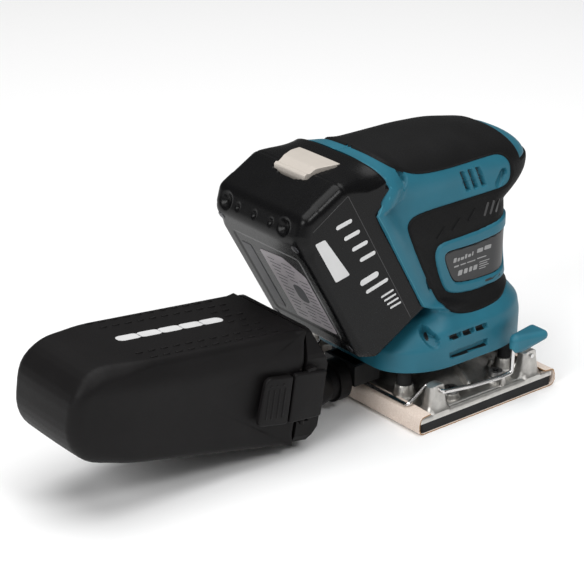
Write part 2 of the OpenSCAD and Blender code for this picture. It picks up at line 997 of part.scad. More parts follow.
module dust_box_shell() {
    inner = [for (i = [len(shell_stations) - 2 : -1 : 0]) box_ring(shell_stations[i] + (i == 0 ? 0 : 1.2), box_wall)];
    outer = [for (x = shell_stations) box_ring(x, 0)];
    color(black)
        box_frame()
            loft(concat(inner, outer));
}

module box_outline(h, s) {
    polygon([for (p = box_section(0, h, s)) [p[1], p[2]]]);
}

// Cover at the nozzle end: a shallow box whose edges slope towards the nozzle
module dust_box_cover() {
    color(black)
        box_frame()
            difference() {
                intersection() {
                    translate([run, 0, 0])
                        rotate([90, 0, 90])
                            linear_extrude(15)
                                box_outline(box_h, 1);
                    translate([0, 50, 0])
                        rotate([90, 0, 0])
                            linear_extrude(100)
                                polygon([[-1, -40], [4, -40], [16, -22], [16, 12], [3, 33], [-1, 33]]);
                }
                translate([-1, 0, 0])
                    rotate([90, 0, 90])
                        linear_extrude(cover_depth + 1)
                            box_outline(box_h - 9, 0.88);
                translate([-1, 0, -17])
                    rotate([0, 90, 0])
                        cylinder(r = 7, h = 30);
            }
    color(black)
        box_frame()
            for (s = [-1, 1])
                latch_pin(s);
}

latch_y = 36.7;
latch_z0 = -16;
latch_z1 = 11;
pin_r = 1.2;

// The pin that a latch turns on, between two lugs of the cover
module latch_pin(s) {
    translate([0, s * latch_y, latch_z0 - 2])
        cylinder(r = pin_r, h = latch_z1 - latch_z0 + 4);
    for (z = [latch_z0 - 2.4, latch_z1 + 0.4])
        translate([0.5, s * (latch_y - 2.2) - 3, z])
            intersection() {
                translate([-0.1, 0, 0])
                    cube([4, 6, 2]);
                translate([-3, -1, -1])
                    cube([8, 8, 4]);
            }
}

// Tapered throat from the cover to the sleeve that plugs onto the tool's port
module dust_nozzle() {
    color(black)
        difference() {
            union() {
                hull() {
                    translate([-101.6, -15, 9])
                        cube([1, 30, 32]);
                    translate([-76, 0, port_z])
                        rotate([0, 90, 0])
                            cylinder(r = 10.5, h = 2, $fn = 32);
                }
                translate([-75, 0, port_z])
                    rotate([0, 90, 0])
                        cylinder(r = 10.5, h = 8);
                translate([-69.5, 0, port_z])
                    rotate([0, 90, 0])
                        cylinder(r = 12, h = 7.5);
            }
            translate([-76, 0, port_z])
                rotate([0, 90, 0])
                    cylinder(r = port_r + 0.08, h = 20);
            translate([-110, 0, port_z])
                rotate([0, 90, 0])
                    cylinder(r = port_r - 2, h = 40);
        }
}

module nozzle_seal() {
    color(charcoal)
        translate([-75.9, 0, port_z])
            rotate([0, 90, 0])
                ring(8.3, port_r - 2, 2);
}

module dust_filter() {
    color("#d9d4c4")
        box_frame()
            for (k = [0 : 7])
                translate([-22 - 8 * k, -24, -20])
                    cube([3, 48, 38]);
}

module filter_frame() {
    color(charcoal)
        box_frame()
            difference() {
                translate([-80, -26.5, -22])
                    cube([80 + cover_depth - gap, 53, 42]);
                translate([-78, -24.5, -30])
                    cube([76 + cover_depth, 49, 60]);
            }
}

// Press-in latch on the box's side: a pivoted block with a ribbed finger tab
module latch_right() {
    color(charcoal)
        box_frame()
            union() {
                difference() {
                    translate([-7, -latch_y - 1.8, latch_z0])
                        cube([19, 3.3, latch_z1 - latch_z0]);
                    translate([0, -latch_y, latch_z0 - 1])
                        cylinder(r = pin_r + 0.08, h = 40);
                }
                translate([-30, -latch_y - 1.8, latch_z0])
                    cube([23.1, 2.2, latch_z1 - latch_z0]);
                for (k = [0 : 3])
                    translate([-28 + 5 * k, -latch_y - 2.5, latch_z0 + 4])
                        cube([1.2, 1, 19]);
            }
}

module latch_left() {
    mirror([0, 1, 0])
        latch_right();
}

abrasive_sheet();
sole_pad();
pad_plate();
pad_screws();
rubber_legs();
eccentric_bearing();
bearing_retainer();
retainer_screws();
rear_clamp_wire();
front_clamp_wire();
rear_clamp_knob();
front_clamp_knob();
motor_shaft();
rotor_core();
cooling_fan();
counterweight();
motor_stator();
upper_bearing();
lower_bearing();
motor_bracket();
motor_cap();
housing_right();
housing_left();
grip_cover_right();
grip_cover_left();
side_panel_right();
side_panel_left();
nameplate_frame_right();
nameplate_frame_left();
nameplate_right();
nameplate_left();
housing_screws();
base_frame();
dust_seal();
dust_spout();
controller_board();
terminal_block();
tool_rails();
control_panel();
power_button();
battery_case();
battery_cover();
battery_cells();
cell_holders();
battery_board();
battery_terminals();
battery_screws();
battery_label();
release_button();
button_spring();
dust_nozzle();
nozzle_seal();
dust_box_cover();
dust_box_shell();
dust_filter();
filter_frame();
latch_right();
latch_left();
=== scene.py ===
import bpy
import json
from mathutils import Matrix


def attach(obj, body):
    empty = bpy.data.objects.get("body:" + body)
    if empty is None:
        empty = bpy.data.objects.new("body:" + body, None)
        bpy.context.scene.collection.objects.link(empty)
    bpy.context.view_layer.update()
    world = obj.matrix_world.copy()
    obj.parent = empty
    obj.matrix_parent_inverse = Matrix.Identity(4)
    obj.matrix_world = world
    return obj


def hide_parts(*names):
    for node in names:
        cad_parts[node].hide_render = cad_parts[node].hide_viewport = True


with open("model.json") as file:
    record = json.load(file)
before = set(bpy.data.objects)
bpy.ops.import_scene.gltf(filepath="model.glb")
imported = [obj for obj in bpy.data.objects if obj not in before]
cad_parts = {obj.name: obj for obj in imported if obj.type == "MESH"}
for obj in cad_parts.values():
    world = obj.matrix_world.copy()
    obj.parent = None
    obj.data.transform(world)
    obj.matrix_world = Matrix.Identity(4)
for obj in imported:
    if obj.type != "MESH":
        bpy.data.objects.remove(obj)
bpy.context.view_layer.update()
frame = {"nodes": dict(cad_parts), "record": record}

import json
import math

import bmesh
import bpy
import numpy as np
from mathutils import Vector

MM = 0.001
rng = np.random.default_rng(7)

# ------------------------------------------------------------------ camera, floor and light

scene = bpy.context.scene
scene.view_settings.view_transform = "Standard"

camera = bpy.data.objects.new("Camera", bpy.data.cameras.new("Camera"))
camera.data.sensor_width = 36
camera.data.lens = 123.3
camera.data.clip_end = 50
camera.location = Vector((-706.1, -763.6, 504.0)) * MM
camera.rotation_euler = (math.radians(90 - 23.53), 0, math.radians(-38.68))
scene.collection.objects.link(camera)
scene.camera = camera

world = bpy.data.worlds.new("Studio")
world.use_nodes = True
world.node_tree.nodes["Background"].inputs["Color"].default_value = (1, 1, 1, 1)
world.node_tree.nodes["Background"].inputs["Strength"].default_value = 0.15
scene.world = world


def area_light(name, place, aim, size, power):
    data = bpy.data.lights.new(name, "AREA")
    data.shape = "DISK"
    data.size = size
    data.energy = power
    lamp = bpy.data.objects.new(name, data)
    lamp.location = place
    lamp.rotation_euler = (Vector(aim) - Vector(place)).to_track_quat("-Z", "Y").to_euler()
    scene.collection.objects.link(lamp)


area_light("Key", (-0.02, -1.45, 1.5), (-0.06, 0, 0.1), 0.55, 9.5)
area_light("Fill", (-1.7, -0.5, 1.1), (-0.1, 0, 0.05), 0.9, 15)
area_light("Top", (-0.1, 0.1, 2.1), (-0.06, 0, 0.0), 2.4, 44)


# ------------------------------------------------------------------ materials


def node_tree(name):
    mat = bpy.data.materials.new(name)
    mat.use_nodes = True
    tree = mat.node_tree
    return mat, tree.nodes, tree.links, tree.nodes["Principled BSDF"]


def noise(nodes, links, scale, detail=3.0, rough=0.55):
    coords = nodes.new("ShaderNodeTexCoord")
    tex = nodes.new("ShaderNodeTexNoise")
    tex.inputs["Scale"].default_value = scale
    tex.inputs["Detail"].default_value = detail
    tex.inputs["Roughness"].default_value = rough
    links.new(coords.outputs["Object"], tex.inputs["Vector"])
    return tex.outputs["Fac"]


def spread(nodes, links, value, low, high, start=0.3, end=0.7):
    span = nodes.new("ShaderNodeMapRange")
    span.inputs["From Min"].default_value = start
    span.inputs["From Max"].default_value = end
    span.inputs["To Min"].default_value = low
    span.inputs["To Max"].default_value = high
    links.new(value, span.inputs["Value"])
    return span.outputs["Result"]


def mixed(nodes, links, fac, low, high):
    mix = nodes.new("ShaderNodeMix")
    mix.data_type = "RGBA"
    links.new(fac, mix.inputs["Factor"])
    for socket, colour in ((6, low), (7, high)):
        if isinstance(colour, bpy.types.NodeSocket):
            links.new(colour, mix.inputs[socket])
        else:
            mix.inputs[socket].default_value = (*colour, 1)
    return mix.outputs[2]


def shade(colour, k):
    return tuple(min(1.0, c * k) for c in colour)


def surface(
    name, colour, rough, metallic=0.0, tone=0.12, tone_scale=55, grain=0.15, grain_scale=2200,
    depth=0.00006, coat=0.0, specular=0.5, wear=None, anisotropic=0.0,
):
    """A moulded or cast surface, with slow changes of tone, fine grain, and wear on its edges."""
    mat, nodes, links, bsdf = node_tree(name)
    slow = noise(nodes, links, tone_scale)
    fine = noise(nodes, links, grain_scale, 2.0)
    share = spread(nodes, links, slow, 0, 1)
    base = mixed(nodes, links, share, shade(colour, 1 - tone), shade(colour, 1 + tone))
    if wear:
        edges = nodes.new("ShaderNodeNewGeometry").outputs["Pointiness"]
        base = mixed(nodes, links, spread(nodes, links, edges, 0, 0.8, 0.52, 0.6), base, wear)
    links.new(base, bsdf.inputs["Base Color"])
    links.new(spread(nodes, links, fine, rough - 0.05, rough + 0.07), bsdf.inputs["Roughness"])
    bump = nodes.new("ShaderNodeBump")
    bump.inputs["Strength"].default_value = grain
    bump.inputs["Distance"].default_value = depth
    links.new(fine, bump.inputs["Height"])
    links.new(bump.outputs["Normal"], bsdf.inputs["Normal"])
    bsdf.inputs["Metallic"].default_value = metallic
    bsdf.inputs["Coat Weight"].default_value = coat
    bsdf.inputs["Coat Roughness"].default_value = 0.18
    bsdf.inputs["Specular IOR Level"].default_value = specular
    bsdf.inputs["Anisotropic"].default_value = anisotropic
    return mat


def elastomer(name, colour, cell=1500, grain=0.5):
    """Soft-touch rubber with a pebbled grain."""
    mat, nodes, links, bsdf = node_tree(name)
    coords = nodes.new("ShaderNodeTexCoord")
    pebble = nodes.new("ShaderNodeTexVoronoi")
    pebble.inputs["Scale"].default_value = cell
    links.new(coords.outputs["Object"], pebble.inputs["Vector"])
    slow = noise(nodes, links, 70)
    share = spread(nodes, links, slow, 0, 1)
    base = mixed(nodes, links, share, shade(colour, 0.85), shade(colour, 1.2))
    links.new(base, bsdf.inputs["Base Color"])
    links.new(spread(nodes, links, pebble.outputs["Distance"], 0.5, 0.72, 0, 0.8), bsdf.inputs["Roughness"])
    bump = nodes.new("ShaderNodeBump")
    bump.inputs["Strength"].default_value = grain
    bump.inputs["Distance"].default_value = 0.0001
    links.new(pebble.outputs["Distance"], bump.inputs["Height"])
    links.new(bump.outputs["Normal"], bsdf.inputs["Normal"])
    bsdf.inputs["Specular IOR Level"].default_value = 0.16
    return mat


def abrasive(name, pale, hole_shade, dust):
    """Coated paper: fine fibres and scattered grains."""
    mat, nodes, links, bsdf = node_tree(name)
    fibres = noise(nodes, links, 900, 6.0, 0.7)
    specks = noise(nodes, links, 3200, 2.0)
    paper = mixed(nodes, links, spread(nodes, links, fibres, 0, 1), hole_shade, pale)
    flecks = mixed(nodes, links, spread(nodes, links, specks, 0, 0.5, 0.5, 0.62), paper, dust)
    links.new(flecks, bsdf.inputs["Base Color"])
    bsdf.inputs["Roughness"].default_value = 0.9
    bump = nodes.new("ShaderNodeBump")
    bump.inputs["Strength"].default_value = 0.6
    bump.inputs["Distance"].default_value = 0.00012
    links.new(specks, bump.inputs["Height"])
    links.new(bump.outputs["Normal"], bsdf.inputs["Normal"])
    return mat


# Base colours are linear, and lengths in a bump are in metres
MATERIALS = {
    "teal": surface("teal_plastic", (0.0175, 0.134, 0.192), 0.44, tone=0.06, grain=0.25, specular=0.3,
                    wear=(0.05, 0.24, 0.32)),
    "rubber": elastomer("grip_elastomer", (0.0048, 0.0048, 0.005)),
    "black": surface("black_plastic", (0.009, 0.009, 0.0095), 0.46, grain=0.3, specular=0.3,
                     wear=(0.03, 0.03, 0.03)),
    "dust_box": surface("dust_box_black", (0.0062, 0.0056, 0.0058), 0.5, grain=0.55, grain_scale=1700,
                        specular=0.15),
    "battery": surface("battery_black", (0.0032, 0.0032, 0.0035), 0.27, grain=0.15, grain_scale=2600,
                       specular=0.17),
    "battery_gloss": surface("battery_gloss", (0.006, 0.006, 0.0065), 0.16, grain=0.05, coat=0.2),
    "cream": surface("cream_plastic", (0.52, 0.475, 0.425), 0.38, tone=0.03, grain=0.1),
    "cast": surface("cast_aluminium", (0.50, 0.485, 0.46), 0.42, 1.0, 0.14, 260, 0.6, 1300, 0.00012,
                    wear=(0.78, 0.76, 0.73)),
    "steel": surface("bright_steel", (0.60, 0.60, 0.61), 0.24, 1.0, 0.08, 300, 0.15, 3000, anisotropic=0.4),
    "wire": surface("clamp_steel", (0.66, 0.65, 0.64), 0.16, 1.0, 0.05, 200, 0.1, 2500),
    "fastener": surface("dark_fasteners", (0.07, 0.07, 0.075), 0.34, 0.9, 0.15, 400, 0.3, 2500,
                        wear=(0.3, 0.3, 0.3)),
    "laminated": surface("electrical_steel", (0.28, 0.27, 0.26), 0.45, 1.0, 0.2, 500, 0.5, 1200),
    "sole": elastomer("sole_rubber", (0.022, 0.022, 0.023), 2600, 0.35),
    "paper": abrasive("abrasive_paper", (0.90, 0.79, 0.70), (0.76, 0.63, 0.54), (0.58, 0.45, 0.37)),
    "paper_edge": abrasive("abrasive_backing", (0.52, 0.30, 0.13), (0.30, 0.15, 0.06), (0.10, 0.05, 0.02)),
    "board": surface("circuit_board", (0.02, 0.16, 0.06), 0.4, tone=0.3, tone_scale=700, grain=0.4,
                     grain_scale=900),
    "cells": surface("cell_wrap", (0.04, 0.15, 0.36), 0.35, tone=0.08, coat=0.2),
    "holder": surface("cell_plastic", (0.62, 0.60, 0.54), 0.5),
    "brass": surface("contact_brass", (0.72, 0.52, 0.24), 0.3, 1.0, 0.1, 300, 0.2),
    "filter": surface("filter_paper", (0.70, 0.66, 0.56), 0.9, tone=0.15, tone_scale=300, grain=0.8,
                      grain_scale=1500),
    "label": surface("label_film", (0.34, 0.31, 0.33), 0.4, tone=0.10, tone_scale=240, grain=0.1),
    "ink": surface("print_white", (0.66, 0.66, 0.66), 0.45, tone=0.05, grain=0.1),
    "ink_grey": surface("print_grey", (0.05, 0.05, 0.055), 0.5, tone=0.1, grain=0.1),
    "ink_pale": surface("print_pale", (0.30, 0.30, 0.30), 0.5, tone=0.1, grain=0.1),
    "plate": surface("nameplate_film", (0.020, 0.020, 0.021), 0.42, grain=0.15),
}
SLOT_MATERIAL = {
    "abrasive_paper": "paper", "sole_rubber": "sole", "cast_aluminium": "cast", "dark_fasteners": "fastener",
    "bright_steel": "steel", "clamp_steel": "wire", "teal_plastic": "teal", "electrical_steel": "laminated",
    "grip_elastomer": "rubber", "nameplate_film": "plate", "black_plastic": "black",
    "button_rubber": "rubber", "circuit_board": "board", "battery_black": "battery", "cell_wrap": "cells",
    "cell_plastic": "holder", "contact_brass": "brass", "label_film": "label", "cream_plastic": "cream",
    "dust_box_black": "dust_box", "filter_paper": "filter",
}
SLOTS = {row["node"]: row["material_slot"] for row in frame["record"]["subparts"]}


def ease_edges(obj, width):
    """Rounds the sharp edges of a CAD node with a bevel."""
    mod = obj.modifiers.new("Eased edges", "BEVEL")
    mod.width = width * MM
    mod.segments = 2
    mod.limit_method = "ANGLE"
    mod.angle_limit = math.radians(35)
    mod.harden_normals = True


for node_name, obj in frame["nodes"].items():
    obj.data.materials.clear()
    obj.data.materials.append(MATERIALS[SLOT_MATERIAL[SLOTS[node_name]]])

# ------------------------------------------------------------------ mesh helpers


def add_mesh(name, verts, faces, material, body, nodes=(), sharp=38, weld=False, close=False):
    """A mesh given in millimetres in the row frame."""
    data = bpy.data.meshes.new(name)
    data.from_pydata((np.asarray(verts, float) * MM).tolist(), [], [list(map(int, f)) for f in faces])
    if weld or close:
        work = bmesh.new()
        work.from_mesh(data)
        bmesh.ops.remove_doubles(work, verts=work.verts, dist=1e-6)
        if close:
            bmesh.ops.recalc_face_normals(work, faces=work.faces)
        work.to_mesh(data)
        work.free()
    data.validate()
    data.shade_smooth()
    data.set_sharp_from_angle(angle=math.radians(sharp))
    obj = bpy.data.objects.new(name, data)
    scene.collection.objects.link(obj)
    data.materials.append(MATERIALS[material])
    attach(obj, body)
    if nodes:
        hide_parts(*nodes)
    return obj


def grid_faces(rows, cols, keep=None, wrap=False, flip=False):
    """Quads of a rows x cols grid, of the cells that keep marks."""
    span = cols if wrap else cols - 1
    i, j = np.meshgrid(np.arange(rows - 1), np.arange(span), indexing="ij")
    k = (j + 1) % cols
    quads = np.stack([i * cols + j, i * cols + k, (i + 1) * cols + k, (i + 1) * cols + j], -1)
    if keep is not None:
        quads = quads[keep]
    quads = quads.reshape(-1, 4)
    return quads[:, ::-1] if flip else quads


def packed(points, quads):
    """The points that the faces use, and the faces renumbered to them."""
    used, quads = np.unique(quads, return_inverse=True)
    return points.reshape(-1, 3)[used], quads.reshape(-1, 4)


def lookup(v, table):
    """The value of a table of (position, value) rows at v."""
    return np.interp(v, [row[0] for row in table], [row[1] for row in table])


def softened(v, table, reach):
    """The table's value, averaged over a stretch either side so that its corners are round."""
    steps = np.linspace(-1, 1, 9)
    weights = 1 - np.abs(steps) * 0.75
    return sum(w * lookup(v + s * reach, table) for s, w in zip(steps, weights)) / weights.sum()


def smooth(t):
    t = np.clip(t, 0, 1)
    return t * t * (3 - 2 * t)


def rounded(points, times=2):
    """Corner-cuts a closed outline, so that it turns smoothly."""
    points = np.asarray(points, float)
    for _ in range(times):
        after = np.roll(points, -1, 0)
        points = np.stack([points * 0.75 + after * 0.25, points * 0.25 + after * 0.75], 1).reshape(-1, 2)
    return points


def inside(s, z, outline):
    """Distance to a closed outline in the plane, positive inside."""
    outline = np.asarray(outline, float)
    best = np.full(s.shape, 1e9)
    within = np.zeros(s.shape, bool)
    for a, b in zip(outline, np.roll(outline, -1, 0)):
        d = b - a
        t = np.clip(((s - a[0]) * d[0] + (z - a[1]) * d[1]) / (d @ d), 0, 1)
        best = np.minimum(best, np.hypot(s - a[0] - t * d[0], z - a[1] - t * d[1]))
        if a[1] != b[1]:
            crosses = (a[1] > z) != (b[1] > z)
            within ^= crosses & (s < a[0] + (z - a[1]) / (b[1] - a[1]) * d[0])
    return np.where(within, best, -best)


def capsule(s, z, a, b, r):
    """Distance to a round-ended bar from a to b, positive inside."""
    d = np.subtract(b, a)
    t = np.clip(((s - a[0]) * d[0] + (z - a[1]) * d[1]) / (d @ d), 0, 1)
    return r - np.hypot(s - a[0] - t * d[0], z - a[1] - t * d[1])


def box(s, z, cx, cz, hx, hz, r):
    """Distance to a round-cornered box, positive inside."""
    qx = np.abs(s - cx) - hx + r
    qz = np.abs(z - cz) - hz + r
    return r - np.hypot(np.maximum(qx, 0), np.maximum(qz, 0)) - np.minimum(np.maximum(qx, qz), 0)


def sunk(distance, depth, wall=0.5):
    """Depth of a pocket with steep, slightly rounded walls."""
    return -depth * smooth(distance / wall + 0.5)


def grid_normals(points):
    du = np.gradient(points, axis=0)
    dv = np.gradient(points, axis=1)
    n = np.cross(dv, du)
    size = np.linalg.norm(n, axis=2, keepdims=True)
    return n / np.maximum(size, 1e-9)


# ------------------------------------------------------------------ housing

TILT = math.radians(29.3)
MATE_X, MATE_Z = -27.4, 65.6
FOOT_Z, SHOULDER_Z, CROWN_Z, NOSE_X = 29, 128.0, 153.0, 60.0
# The pocket for the battery's rails: half its width, its foot and its depth
POCKET_Y, POCKET_Z, POCKET_X = 30.2, 98.0, 13 / math.cos(TILT)
RIDGE_END = 36.0
SEAM = 0.05

# The battery's sides are held SIDE_Y from the middle, from HELD_Z up
SIDE_Y, HELD_Z = 37.8, 62.5

FRONT = [(29, 48), (44, 48), (52, 47), (57, 42.5), (62, 38.5), (66, 36.2), (72, 35), (106, 35), (112, 37.5),
         (116, 47), (120, 54.5), (124, 58.5), (128, 60)]
WIDTH = [(29, 46.3), (44, 46.3), (50, 45.3), (55, 42), (60, 38.5), (66, 36.3), (72, 35.5), (106, 35.5),
         (112, 35), (120, 34), (128, 33)]
FRONT_ROUND_X = [(29, 36), (50, 34), (60, 22), (72, 18), (106, 18), (120, 31), (128, 33)]
FRONT_ROUND_Y = [(29, 26), (50, 26), (60, 20), (72, 18), (106, 18), (120, 27), (128, 27)]
REAR_ROUND_X = [(29, 36), (42, 34), (60, 9), (66, 7), (128, 6)]
REAR_ROUND_Y = [(29, 26), (42, 26), (60, 9), (66, 7), (128, 6)]
CROWN = [(-80, 0), (-62, -1.2), (-40, -0.8), (-12, 0), (12, -1.5), (36, -6.5), (65, -14)]
CROWN_POWER = [(-78, 0.5), (-66, 0.6), (-50, 0.78), (-20, 0.86), (65, 0.92)]


def plane_x(z):
    """X of the battery's mating plane at a height."""
    return MATE_X + 0.5 - (z - MATE_Z) * math.tan(TILT)


REAR = [(29, -54), (41, -54), (60, plane_x(60)), (128, plane_x(128))]

# Rear edge of the collar, as a distance in front of the mating plane: it wraps the battery's sides, and
# higher up it gives way to the battery's shoulder. Above OPEN_Z a wall closes the collar.
COLLAR = [(60, 0.5), (66, -6.7), (126.4, -6.7), (141.5, 6.9), (146, 8.3), (160, 8.3)]
OPEN_EDGE, OPEN_Z, COLLAR_HALF = 7.9, 146, 39.5


def flare(z):
    """How far the collar stands out sideways beyond the waist."""
    return 4.5 * smooth((z - 56) / 9) + 2.0 * smooth((z - 104) / 16)


def collar_shift(z):
    """How far forward of the mating plane the collar's rear edge lies, along X."""
    return (lookup(z, COLLAR) - 0.5) / math.cos(TILT)


# The outline runs along the rear face, round the rear corner, along the side and round the nose
REAR_FLAT = np.linspace(0, 0.96, 30)
REAR_TURN = np.linspace(0, 90, 44)
SIDE = np.linspace(0.01, 0.99, 150)
FRONT_TURN = np.linspace(0, 90, 96)
NOSE = np.linspace(0.96, 0, 14)
COL_SIDE = len(REAR_FLAT) + len(REAR_TURN)


def plan_outline(xr, xf, w, rrx, rry, frx, fry, out):
    """Points in plan between the ends xr and xf of a body w wide to each side.

    The rear corner's radii are rrx and rry, the nose's are frx and fry, and the collar stands out by out."""
    turn, nose = np.radians(REAR_TURN), np.radians(FRONT_TURN)
    side_x = xr + rrx + SIDE * (xf - frx - xr - rrx)
    x = np.concatenate([
        np.full(len(REAR_FLAT), xr), xr + rrx * (1 - np.cos(turn)), side_x,
        xf - frx + frx * np.sin(nose), np.full(len(NOSE), xf),
    ])
    y = np.concatenate([
        REAR_FLAT * (w + out - rry), w + out - rry + rry * np.sin(turn),
        w + out * (1 - smooth((side_x - xr - rrx) / 15)),
        w - fry * (1 - np.cos(nose)), NOSE * (w - fry),
    ])
    return x, y


def crown_height(x):
    """Height of the grip's ridge above the shoulder."""
    return CROWN_Z + softened(x, CROWN, 8) - SHOULDER_Z


def housing_skin():
    """Right half of the housing's outer surface, as rows of points from the skirt to the ridge."""
    rows = []
    levels = [np.linspace(FOOT_Z, 57, 78), np.linspace(57.5, 116, 96), np.linspace(116.5, SHOULDER_Z, 30)]
    for z in np.concatenate(levels):
        radii = [float(softened(z, t, 3)) for t in (REAR_ROUND_X, REAR_ROUND_Y, FRONT_ROUND_X, FRONT_ROUND_Y)]
        lip = collar_shift(z)
        if z > 60:
            radii[0] = radii[1] = 3 + 6 * smooth((68 - z) / 8)
        x, y = plan_outline(
            float(softened(z, REAR, 2)) + lip, float(softened(z, FRONT, 2.2)), float(softened(z, WIDTH, 2.2)),
            *radii, flare(z),
        )
        rear = np.arange(len(x)) < COL_SIDE
        if z > HELD_Z:
            held = rear & (y < SIDE_Y)
            x = np.where(held, np.maximum(x, plane_x(z)), x)
            last = np.nonzero(held)[0][-1]
            if last + 1 < COL_SIDE:
                y[last], y[last + 1] = SIDE_Y, SIDE_Y + 0.02
        if z >= POCKET_Z:
            x = np.where(rear & (y < POCKET_Y), plane_x(z) + POCKET_X, x)
        rows.append(np.stack([x, -np.maximum(y, SEAM), np.full(len(x), z)], 1))
    top = CROWN_Z + lookup(-78, CROWN) - SHOULDER_Z
    for angle in np.radians(np.linspace(0, 90, 84)[1:]):
        s, c = math.sin(angle), max(math.cos(angle), 0)
        zr = SHOULDER_Z + top * s ** 0.5
        rear_w = COLLAR_HALF * c ** 0.5
        bend = min(6, rear_w / 3)
        is_open = zr > OPEN_Z
        cx = c ** 0.85
        xr = plane_x(zr) + (OPEN_EDGE / math.cos(TILT) if is_open else collar_shift(zr))
        x, y = plan_outline(xr, RIDGE_END + (NOSE_X - RIDGE_END) * cx, 33, bend, bend, 33 * cx, 27, 6.5)
        power = lookup(x, CROWN_POWER)
        side_y = y * c ** power
        side_z = SHOULDER_Z + crown_height(x) * s ** power
        j = np.arange(len(x))
        flat_share = np.append(REAR_FLAT, np.zeros(len(x) - len(REAR_FLAT)))
        rear_y = np.where(j < len(REAR_FLAT), flat_share * (rear_w - bend), np.minimum(side_y, rear_w))
        turned = smooth((j - len(REAR_FLAT)) / len(REAR_TURN))
        yy = np.where(j < COL_SIDE, rear_y, side_y)
        zz = np.where(j < COL_SIDE, zr * (1 - turned) + side_z * turned, side_z)
        if not is_open:
            x = np.where((yy < POCKET_Y) & (j < COL_SIDE), plane_x(zr) + POCKET_X, x)
        rows.append(np.stack([x, -np.maximum(yy, SEAM), zz], 1))
    return np.array(rows)


skin = housing_skin()
normals = grid_normals(skin)
normals[-1, :, 1] = 0
ROWS, COLS = skin.shape[:2]
ORDER = np.arange(COLS)[None, :] * np.ones((ROWS, 1))

# S runs along the outline in plan: it is X on the side and goes on round the nose
steps = np.hypot(*np.moveaxis(np.diff(skin[:, :, :2], axis=1), 2, 0))
S = np.concatenate([np.zeros((ROWS, 1)), np.cumsum(steps, 1)], 1)
S = S - S[:, COL_SIDE:COL_SIDE + 1] + skin[:, COL_SIDE:COL_SIDE + 1, 0]
Z = skin[:, :, 2]
X, Y = skin[:, :, 0], skin[:, :, 1]

# Where the soft grip and the waist's panel lie: positive inside them, and none on the forehead above the nose
SOFT_OUTLINE = rounded([
    (-57.4, 175), (-57.2, 153.4), (-55.8, 151.2), (-53, 148.8), (-49, 146), (-39, 141.4), (-27, 139.2),
    (-10, 138.5), (16, 138.9), (28, 138.4), (34, 133), (35, 125), (32, 120), (24, 119), (0, 118.8),
    (-36, 118.6), (-44, 115.5), (-43.5, 109), (-35, 90), (-27, 74), (-21, 63), (-15, 58), (-6, 55.6),
    (6, 55.2), (20, 56.6), (32, 61), (60, 64), (150, 64), (150, 175),
])
along = np.where(ORDER < COL_SIDE, X, X + (S - X) * smooth((X + 45) / 15))
soft = inside(along, Z, SOFT_OUTLINE)
forehead = np.minimum(X - (36 + 0.006 * Y ** 2), Z - 131)
soft = np.minimum(soft, -forehead)
soft = np.where(ORDER < COL_SIDE - 6, -5, soft)

# Outer and inner edge of the rim round the nameplate
ring_out = inside(S, Z, rounded([
    (-24.5, 96), (-21, 99.4), (0, 99.4), (12, 100.4), (38, 104.5), (43, 100), (43, 72), (38, 67), (18, 65.6),
    (0, 65.0), (-13, 67.5), (-17.5, 71), (-22.3, 82), (-24.8, 91)]))
ring_in = inside(S, Z, rounded([
    (-18.4, 91), (-15.5, 93), (0, 92.4), (12, 93), (32, 95.6), (36, 92), (36, 78), (32, 73), (18, 71.2),
    (5, 71.2), (-6, 72.3), (-11, 74.3), (-15.5, 83)]))

# Relief, as a depth along the normal: the groove round the soft grip, then vents, scoops and screw hollows
relief = -0.55 * np.exp(-(soft / 0.45) ** 2)
# openings marks the vents, slot and screw bore whose faces are painted black as painted shade
openings = np.full_like(S, -9.0)
for k in range(3):
    low, high = 9.6 * k, 5.8 * k
    grip_vent = inside(S - high, Z, [(-3.6, 134.6), (-0.8, 134.6), (3.6, 123.4), (0.8, 123.3)])
    frame_of_vent = inside(S - low, Z, [(-21.4, 47.4), (-12.9, 47.6), (-12.3, 45), (-20.8, 44.9)])
    skirt_vent = inside(S - low, Z, [(-20.6, 47.0), (-14.4, 47.2), (-13.8, 44.6), (-20.0, 44.5)])
    relief += sunk(frame_of_vent, 2.4) + sunk(grip_vent, 2.6)
    openings = np.maximum(openings, np.maximum(grip_vent, skirt_vent))
relief += sunk(inside(S, Z, [(-21, 37.4), (7, 38.2), (7, 34.4), (-19, 33.8), (-21, 35)]), 3.0)
SCOOP = rounded([(-34.5, 54.5), (-38.5, 50.5), (-34.5, 44), (-31, 41.8), (-28.5, 43.5), (-28.2, 48)], 1)
scoop = inside(S, Z, SCOOP)
relief += sunk(scoop, 1, 0.8) * np.clip(1.5 + 0.45 * (Z - 42), 1, 7)
rear_scoop = inside(S, Z, rounded([(-47.5, 146), (-42, 143.5), (-40.6, 138), (-44.5, 133.2), (-47, 136)]))
relief += sunk(rear_scoop, 1, 0.7) * np.clip(1.0 + 0.28 * (Z - 133), 1, 4.5)
nose_scoop = capsule(S, Z, (28.5, 127.4), (24.6, 122.4), 2.4)
relief += sunk(nose_scoop, 1, 0.6) * np.clip(0.8 + 0.4 * (Z - 120), 0.8, 4)
relief += sunk(capsule(S, Z, (-30.4, 80), (-29.4, 75.5), 1.7), 2.0)
seam = np.minimum(np.abs(Y) - SEAM, 9) / 0.35
relief += -0.3 * np.exp(-seam ** 2)
shell = skin + normals * relief[:, :, None]

# The lower rim turns inwards, and a wall runs up inside the skirt
rim = []
for rise, inset in ((0.0, 0.5), (0.0, 2.2), (3.0, 2.4), (14.0, 2.6)):
    row = skin[0] - normals[0] * [1, 1, 0] * inset
    row[:, 2] = FOOT_Z + rise
    row[:, 1] = np.minimum(row[:, 1], -SEAM)
    rim.insert(0, row)
shell = np.concatenate([np.array(rim), shell])
